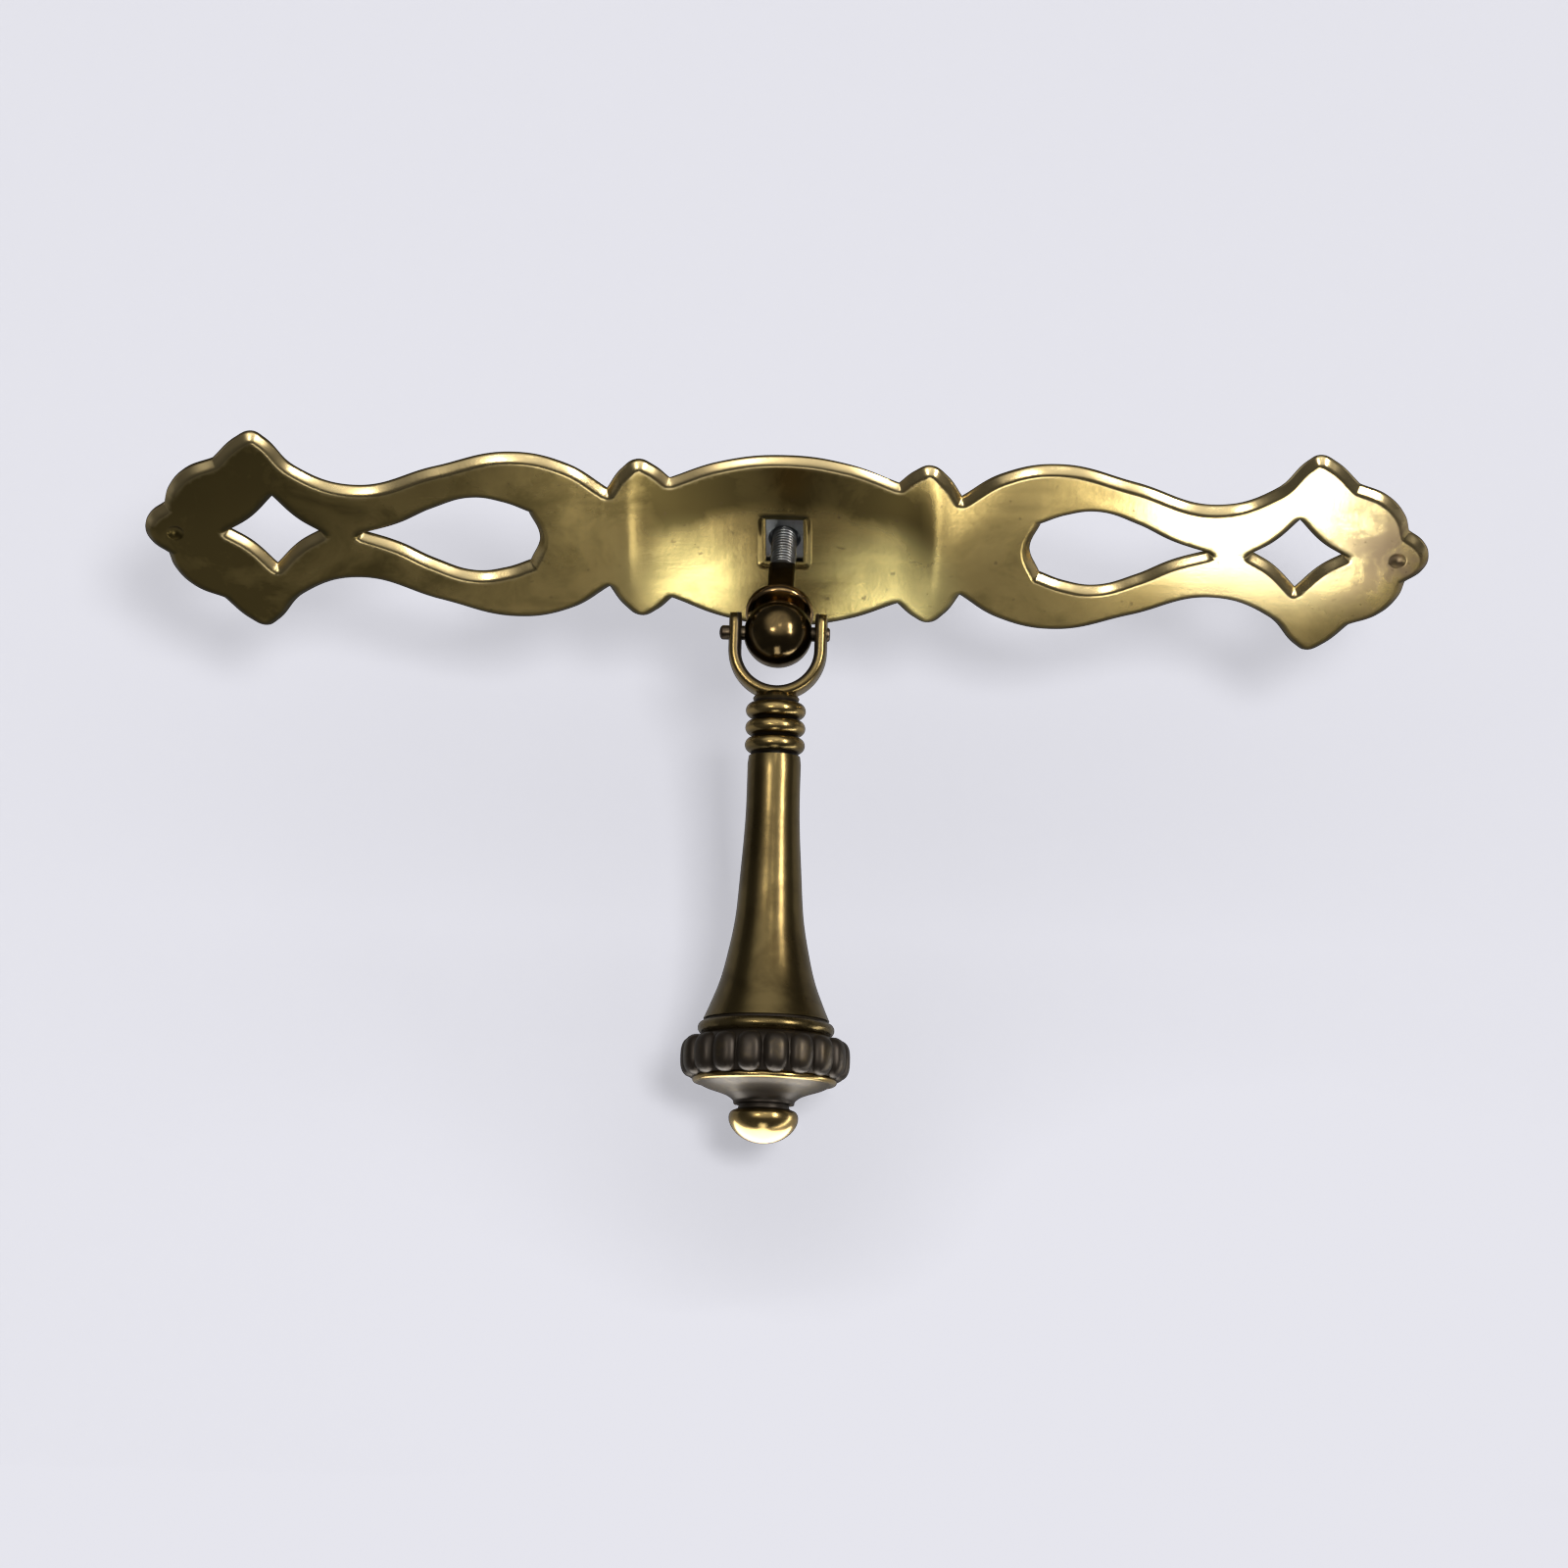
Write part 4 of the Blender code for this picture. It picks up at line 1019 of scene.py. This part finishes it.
class MakePivotPin(bpy.types.Operator):
    """Make the pin that hangs the yoke on the ball"""
    bl_idname = "drop_pull.pivot_pin"
    bl_label = "Pivot pin"

    def execute(self, context):
        radius, left, right = PIN_HIGH.z, PIN_LOW.x, PIN_HIGH.x
        profile = [(0, left)] + [(radius * sin(a), left + 0.0004 * (1 - cos(a)))
                                 for a in (radians(15 * i) for i in range(1, 7))]
        profile += [(radius, right - 0.00025), (radius - 0.0001, right - 0.00006), (radius - 0.00028, right)]
        profile += [(0, right)]
        bm = bmesh.new()
        turn_profile(bm, [(r, z, 0.7) for r, z in profile], 48, Matrix.Rotation(pi / 2, 4, "Y"))
        set_piece(finish_mesh("hinge_pin", bm), browned_steel(), "pendant", PENDANT_FRAME, ["pivot_pin"])
        return {"FINISHED"}


def yoke_rings():
    """Rounded sections along the U, from the left ear's top round to the right one's."""
    middle = YOKE_INNER_RADIUS + YOKE_ARM_THICKNESS / 2
    path = []
    for i in range(13):
        z = YOKE_EAR_RADIUS * cos(radians(7.5 * i))
        path.append((Vector((-middle, 0, z)), Vector((1, 0, 0)), z))
    for i in range(1, 4):
        z = -YOKE_ARC_DROP * i / 4
        path.append((Vector((-middle, 0, z)), Vector((1, 0, 0)), z))
    for i in range(49):
        angle = pi * i / 48
        inward = Vector((cos(angle), 0, sin(angle)))
        path.append((Vector((0, 0, -YOKE_ARC_DROP)) - middle * inward, inward, -YOKE_ARC_DROP))
    path += [(Vector((-at.x, 0, at.z)), -inward, z) for at, inward, z in reversed(path[:16])]

    rings = []
    for at, inward, z in path:
        half_depth = min(YOKE_DEPTH / 2, sqrt(max(YOKE_EAR_RADIUS ** 2 - max(z, 0) ** 2, 0)) + 0.00002)
        half_wall = YOKE_ARM_THICKNESS / 2 * (1.0 if z < 0 else 0.9 + 0.1 * half_depth / (YOKE_DEPTH / 2))
        ring = []
        for i in range(24):
            angle = 2 * pi * i / 24
            across, along = cos(angle), sin(angle)
            across = abs(across) ** 0.62 * (1 if across > 0 else -1)
            along = abs(along) ** 0.62 * (1 if along > 0 else -1)
            ring.append(at + inward * half_wall * across + Vector((0, half_depth * along, 0)))
        rings.append(ring)
    return rings


class MakeYokeCollar(bpy.types.Operator):
    """Make the U-shaped yoke with its knob and three rings"""
    bl_idname = "drop_pull.yoke_collar"
    bl_label = "Yoke and rings"

    def execute(self, context):
        bm = bmesh.new()
        inner = YOKE_INNER_RADIUS + 0.3 * YOKE_ARM_THICKNESS

        def yoke_wear(point):
            from_middle = hypot(point.x, min(point.z + YOKE_ARC_DROP, 0))
            return 0.25 if from_middle < inner else 0.78
        loft(bm, yoke_rings(), yoke_wear)

        knob_top = -(YOKE_ARC_DROP + YOKE_INNER_RADIUS + 0.0003)
        profile = [(0, knob_top), (0.0016, knob_top - 0.0001), (0.0023, knob_top - 0.0006),
                   (0.00262, knob_top - 0.0011), (0.00255, -RING_TOP + 0.0002), (0.0024, -RING_TOP)]
        crest = RING_RADIUS - RING_GROOVE_RADIUS + 0.0003
        for ring in range(RING_COUNT):
            middle = -(RING_TOP + (ring + 0.5) * RING_PITCH)
            profile += arc(RING_RADIUS - crest, middle, crest, 80, -80, 12, RING_PITCH / 2 * 0.92)
            profile.append((RING_GROOVE_RADIUS - 0.0004, middle - RING_PITCH / 2))
        profile[-1] = (RING_GROOVE_RADIUS, -(RING_TOP + RING_COUNT * RING_PITCH))
        profile += [(0, profile[-1][1])]
        turn_profile(bm, with_wear(profile, 0.0009, 0.0006), sizes().turning_steps)
        set_piece(finish_mesh("yoke_with_rings", bm, radians(50)), aged_drop_brass(), "pendant",
                  PENDANT_FRAME, ["yoke_collar"])
        return {"FINISHED"}


class MakeDropStem(bpy.types.Operator):
    """Make the hollow trumpet-shaped stem"""
    bl_idname = "drop_pull.drop_stem"
    bl_label = "Drop stem"

    def execute(self, context):
        flare = STEM_FOOT_RADIUS - STEM_TOP_RADIUS
        stations = [(STEM_TOP_RADIUS + share * flare, along * STEM_LENGTH) for share, along in (
            (0.0, 0.0), (0.012, 0.23), (0.12, 0.47), (0.21, 0.62), (0.39, 0.755), (0.585, 0.86),
            (0.87, 0.96), (1.0, 1.0))]
        line = smooth_line(stations, 8)
        outside = [(radius, -STEM_TOP - along) for radius, along in line]
        lip = [(STEM_TOP_RADIUS - 0.0004, -STEM_TOP + 0.00002), (STEM_TOP_RADIUS - 0.0001, -STEM_TOP)]
        inside = [(max(radius - STEM_WALL, ROD_BORE_RADIUS), z) for radius, z in reversed(outside)]
        profile = [(r, z, 0.55) for r, z in lip + outside[1:]]
        profile += [(r, z, 0.1) for r, z in inside]
        bm = bmesh.new()
        turn_profile(bm, profile, sizes().turning_steps)
        set_piece(finish_mesh("trumpet_stem", bm), aged_drop_brass(), "pendant",
                  PENDANT_FRAME, ["drop_stem"])
        return {"FINISHED"}


class FinishTieRod(bpy.types.Operator):
    """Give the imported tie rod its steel"""
    bl_idname = "drop_pull.tie_rod"
    bl_label = "Tie rod"

    def execute(self, context):
        rod = frame["nodes"]["tie_rod"]
        rod.data.materials.clear()
        rod.data.materials.append(zinc_steel())
        return {"FINISHED"}


def lobe_mesh():
    """One lobe of the cap: a rounded pad that stands out along +X, its root in the band."""
    bm = bmesh.new()
    layer = bm.verts.layers.float.new(WEAR_AND_PAINTED_EDGE_LIGHT)
    root = 0.0007
    half_width = (BAND_RADIUS + sizes().lobe_proud) * sin(pi / sizes().lobe_count) - 0.00012
    half_height = BAND_HEIGHT / 2 * 0.88
    middle = -(CAP_TOP + BEAD_THICKNESS + BAND_HEIGHT / 2)
    rings = []
    for i in range(1, 11):
        spread = sin(pi / 2 * i / 10)
        proud = cos(pi / 2 * i / 10) ** 0.8 - 0.10 * (1 - spread ** 2) ** 3
        ring = []
        for k in range(28):
            angle = 2 * pi * k / 28
            y = abs(cos(angle)) ** 0.75 * (1 if cos(angle) > 0 else -1) * half_width * spread
            z = abs(sin(angle)) ** 0.75 * (1 if sin(angle) > 0 else -1) * half_height * spread
            fall = 0.35 * y * y / BAND_RADIUS
            vert = bm.verts.new((BAND_RADIUS - root + (sizes().lobe_proud + root) * proud - fall, y, middle + z))
            vert[layer] = 0.02 + 0.26 * proud ** 1.5
            ring.append(vert)
        rings.append(ring)
    top = bm.verts.new((BAND_RADIUS - root + 0.9 * (sizes().lobe_proud + root), 0, middle))
    top[layer] = 0.26
    bridge(bm, [top], rings[0])
    for upper, lower in zip(rings, rings[1:]):
        bridge(bm, upper, lower)
    bm.faces.new(rings[-1])
    return finish_mesh("lobe", bm)


class MakeGadroonedCap(bpy.types.Operator):
    """Make the cap: bead, ring of lobes and domed underside"""
    bl_idname = "drop_pull.gadrooned_cap"
    bl_label = "Gadrooned cap"

    def execute(self, context):
        band_top = -CAP_TOP - BEAD_THICKNESS
        band_bottom = band_top - BAND_HEIGHT
        half = BEAD_THICKNESS / 2
        bottom = -FINIAL_TOP + 0.00005
        bead = arc(BEAD_RADIUS - half, -CAP_TOP - half, half, 90, -75, 16)
        groove = [(BEAD_RADIUS - 0.0004, band_top - 0.00008)]
        band = [(BAND_RADIUS - 0.0007, band_top - 0.0004), (BAND_RADIUS - 0.0002, band_top - 0.0013),
                (BAND_RADIUS, band_top - 0.0026), (BAND_RADIUS - 0.0002, band_bottom + 0.0012),
                (BAND_RADIUS - 0.0006, band_bottom + 0.0005)]
        lip = arc(BAND_RADIUS - 0.0010, band_bottom + 0.0001, 0.00035, 80, -70, 8)
        ogee = smooth_line([(BAND_RADIUS - 0.0013, band_bottom - 0.0003), (0.0066, band_bottom - 0.00075),
                            (0.0052, band_bottom - 0.0012), (0.0042, band_bottom - 0.0016),
                            (CAP_NECK_RADIUS, bottom + 0.0004), (CAP_NECK_RADIUS - 0.0001, bottom)], 5)
        seat = 0.00025
        profile = [(ROD_BORE_RADIUS, seat - CAP_TOP, 0.2), (STEM_FOOT_RADIUS - 0.0002, seat - CAP_TOP, 0.2),
                   (STEM_FOOT_RADIUS - 0.0001, -CAP_TOP, 0.2)]
        profile += [(r, z, 0.44) for r, z in bead] + [(r, z, 0.0) for r, z in groove]
        profile += [(r, z, 0.06) for r, z in band] + [(r, z, 0.85) for r, z in lip]
        profile += [(r, z, 0.24 if r > CAP_NECK_RADIUS + 0.0009 else 0.05) for r, z in ogee]
        profile += [(ROD_BORE_RADIUS, bottom, 0.1)]
        bm = bmesh.new()
        turn_profile(bm, profile, 144)

        brass = aged_drop_brass()
        lobe = bpy.data.objects.new("lobe_pattern", lobe_mesh())
        bpy.context.scene.collection.objects.link(lobe)
        mesh = grown(finish_mesh("cap_core", bm, radians(50)), copies_round_axis(), {
            "Copy": lobe, "Count": sizes().lobe_count, "Material": brass})
        bpy.data.objects.remove(lobe, do_unlink=True)
        mesh.name = "lobed_cap"
        set_piece(mesh, brass, "pendant", PENDANT_FRAME, ["gadrooned_cap"])
        return {"FINISHED"}


class MakeFinialNut(bpy.types.Operator):
    """Make the button that closes the drop"""
    bl_idname = "drop_pull.finial_nut"
    bl_label = "Finial nut"

    def execute(self, context):
        top = -FINIAL_TOP
        rim = top - 0.0016
        profile = [(0, top, 0.1), (0.0028, top, 0.1), (0.0029, top - 0.0005, 0.1)]
        profile += [(r, z, 0.8) for r, z in arc(FINIAL_RADIUS - 0.0006, rim + 0.0001, 0.0006, 85, 0, 8, 0.0008)]
        dome = FINIAL_HEIGHT - 0.00162
        for i in range(1, 20):
            angle = pi / 2 * i / 20
            profile.append((FINIAL_RADIUS * cos(angle), rim - dome * sin(angle) ** 1.15, 0.85))
        profile.append((0, top - FINIAL_HEIGHT + 0.00002, 0.9))
        bm = bmesh.new()
        turn_profile(bm, profile, sizes().turning_steps)
        set_piece(finish_mesh("finial_button", bm, radians(50)), aged_drop_brass(), "pendant",
                  PENDANT_FRAME, ["finial_nut"])
        return {"FINISHED"}


# Stage

TABLE_SLOPE = tan(radians(27.1))   # of the plane on which the plate's lower edge and the drop's cap both rest
FLOOR_LEVEL = -(FINIAL_TOP + FINIAL_HEIGHT + 0.003)   # just clear of the drop as it swings past its lowest
ROOM_TOP = (0.0, -0.2, 0.98)
BACKDROP = (0.79, 0.79, 0.85, 1)
VIEW_AZIMUTH = 2.5
VIEW_ELEVATION = 40.6
VIEW_ROLL = radians(-0.2)
VIEW_LENS = 120
VIEW_WIDTH = 0.183


def toward(azimuth, elevation):
    """Unit vector from the pull out to a viewer or light; azimuth 0 is the front and 90 the right."""
    a, e = radians(azimuth), radians(elevation)
    return Vector((sin(a) * cos(e), -cos(a) * cos(e), sin(e)))


def add_light(name, direction, width, length, radiance, colour, along=(0, -0.766, -0.643)):
    """A rectangular light 0.8 m from the pull, long side nearly along a direction."""
    back = Vector(direction).normalized()
    side = Vector(along).cross(back).normalized()
    light = bpy.data.lights.new(name, "AREA")
    light.shape = "RECTANGLE"
    light.size, light.size_y = width, length
    light.energy = radiance * pi * width * length
    light.color = colour
    lamp = bpy.data.objects.new(name, light)
    turn = Matrix((side, back.cross(side), back)).transposed().to_4x4()
    lamp.matrix_world = Matrix.Translation(0.8 * back) @ turn
    bpy.context.scene.collection.objects.link(lamp)
    return lamp


def emissive_card(name, corners, colour, strength):
    """A glowing card that only reflections see."""
    mesh = bpy.data.meshes.new(name)
    mesh.from_pydata(corners, [], [range(len(corners))])
    paint = Paint(name)
    glow = paint.node("ShaderNodeEmission", values={"Color": (*colour, 1.0), "Strength": strength})
    paint.node("ShaderNodeOutputMaterial", values={"Surface": glow})
    mesh.materials.append(paint.material)
    card = bpy.data.objects.new(name, mesh)
    bpy.context.scene.collection.objects.link(card)
    card.visible_camera = False
    card.visible_diffuse = False
    card.visible_shadow = False
    return card


class MakeStage(bpy.types.Operator):
    """Make the pale table, the soft light and the camera"""
    bl_idname = "drop_pull.stage"
    bl_label = "Stage"

    def execute(self, context):
        scene = context.scene
        scene.view_settings.view_transform = "Standard"
        self.make_floor()
        self.make_world(scene)
        self.make_lights()
        self.make_camera(scene)
        return {"FINISHED"}

    def make_floor(self):
        """A level floor that shows shadows, and the sloping table that only reflections see."""
        reach = 0.9
        for name, level, rise in (("floor", FLOOR_LEVEL, 0.0),
                                  ("table_in_reflections", PLATE_LOW.z - 0.00005, TABLE_SLOPE)):
            corners = [(x, y, level + rise * y) for x, y in
                       ((-reach, -reach), (reach, -reach), (reach, reach), (-reach, reach))]
            mesh = bpy.data.meshes.new(name)
            mesh.from_pydata(corners, [], [(0, 1, 2, 3)])
            paint = Paint(name)
            top = paint.mix(0.06 * paint.noise(300, 3, 0.5), colours().table, (0.70, 0.70, 0.74))
            mesh.materials.append(paint.close({"Base Color": top, "Roughness": 0.6}))
            surface = bpy.data.objects.new(name, mesh)
            bpy.context.scene.collection.objects.link(surface)
            if rise:
                surface.visible_camera = surface.visible_diffuse = surface.visible_shadow = False
            else:
                surface.is_shadow_catcher = True
                surface.visible_glossy = False

    def make_world(self, scene):
        world = bpy.data.worlds.new("room")
        world.use_nodes = True
        tree = world.node_tree
        tree.nodes.clear()
        wires = Wiring(tree)
        facing = wires.node("ShaderNodeVectorMath", {"operation": "DOT_PRODUCT"}, {
            0: wires.node("ShaderNodeTexCoord", output="Generated"), 1: ROOM_TOP}, output="Value")
        glow = wires.between(facing, 0.62, 0.96, 0.06, 0.80)
        room = wires.node("ShaderNodeBackground", values={"Color": (1.0, 0.985, 0.95, 1), "Strength": glow})
        backdrop = wires.node("ShaderNodeBackground", values={"Color": BACKDROP})
        path = wires.node("ShaderNodeLightPath", output="Is Camera Ray")
        mix = wires.node("ShaderNodeMixShader", values={0: path, 1: room, 2: backdrop})
        wires.node("ShaderNodeOutputWorld", values={"Surface": mix})
        scene.world = world

    def make_lights(self):
        window = add_light("window", (0.66, -0.35, 0.66), 0.10, 0.42, 24.0, (1.0, 0.95, 0.88))
        left_lamp = add_light("left_lamp", (-0.29, -0.57, 0.75), 0.16, 0.13, 15.0, (1.0, 0.93, 0.82))
        high_lamp = add_light("high_lamp", (0.12, -0.36, 0.92), 0.08, 0.10, 5.0, (1.0, 0.94, 0.85))
        for lamp in (window, left_lamp, high_lamp):
            lamp.visible_diffuse = False
        key = add_light("key", toward(VIEW_AZIMUTH + 7, VIEW_ELEVATION + 2), 0.075, 0.075, 70.0, (1.0, 0.99, 0.97))
        key.visible_glossy = False
        white = (1.0, 0.99, 0.95)

        def on_table(*corners):
            return [(x, y, PLATE_LOW.z + 0.001 + TABLE_SLOPE * y) for x, y in corners]
        emissive_card("lens_card", on_table((-0.036, -0.40), (0.030, -0.40), (0.012, -0.060), (-0.020, -0.060)),
                      white, 6.0)
        emissive_card("front_card", [(-0.05, -0.45, -0.25), (0.05, -0.45, -0.25), (0.05, -0.45, -0.06),
                                     (-0.05, -0.45, -0.06)], white, 3.2)
        emissive_card("end_card", on_table((0.044, -0.16), (0.082, -0.16), (0.068, -0.045), (0.041, -0.045)),
                      white, 8.0)

    def make_camera(self, scene):
        camera = bpy.data.cameras.new("camera")
        camera.lens = VIEW_LENS
        camera.clip_start = 0.01
        holder = bpy.data.objects.new("camera", camera)
        scene.collection.objects.link(holder)
        back = toward(VIEW_AZIMUTH, VIEW_ELEVATION)
        look = back.to_track_quat("Z", "Y").to_matrix().to_4x4() @ Matrix.Rotation(VIEW_ROLL, 4, "Z")
        target = Vector((0, PLATE_LOW.y, 0)) + look.to_3x3() @ Vector((0, -0.0276, 0))
        distance = VIEW_WIDTH * camera.lens / camera.sensor_width
        holder.matrix_world = Matrix.Translation(target + back * distance) @ look
        scene.camera = holder


OPERATORS = (MakeBackplate, MakeBallPost, MakeFixings, MakePivotPin, MakeYokeCollar, MakeDropStem,
             FinishTieRod, MakeGadroonedCap, MakeFinialNut, MakeStage)


class DropPullPanel(bpy.types.Panel):
    """Sizes, colours and pieces of the drop pull"""
    bl_idname = "VIEW3D_PT_drop_pull"
    bl_label = "Drop Pull"
    bl_space_type = "VIEW_3D"
    bl_region_type = "UI"
    bl_category = "Drop Pull"

    def draw(self, context):
        for group in (context.scene.drop_pull_sizes, context.scene.drop_pull_colours):
            box = self.layout.box()
            for name in group.__annotations__:
                box.prop(group, name)
        for operator in OPERATORS:
            self.layout.operator(operator.bl_idname)


CLASSES = (DropPullSizes, DropPullColours, *OPERATORS, DropPullPanel)


def register():
    for cls in CLASSES:
        bpy.utils.register_class(cls)
    bpy.types.Scene.drop_pull_sizes = bpy.props.PointerProperty(type=DropPullSizes)
    bpy.types.Scene.drop_pull_colours = bpy.props.PointerProperty(type=DropPullColours)


def unregister():
    del bpy.types.Scene.drop_pull_colours
    del bpy.types.Scene.drop_pull_sizes
    for cls in reversed(CLASSES):
        bpy.utils.unregister_class(cls)


def main():
    register()
    bpy.ops.drop_pull.backplate()
    bpy.ops.drop_pull.ball_post()
    bpy.ops.drop_pull.fixings()
    bpy.ops.drop_pull.pivot_pin()
    bpy.ops.drop_pull.yoke_collar()
    bpy.ops.drop_pull.drop_stem()
    bpy.ops.drop_pull.tie_rod()
    bpy.ops.drop_pull.gadrooned_cap()
    bpy.ops.drop_pull.finial_nut()
    bpy.ops.drop_pull.stage()


if __name__ == "__main__":
    main()
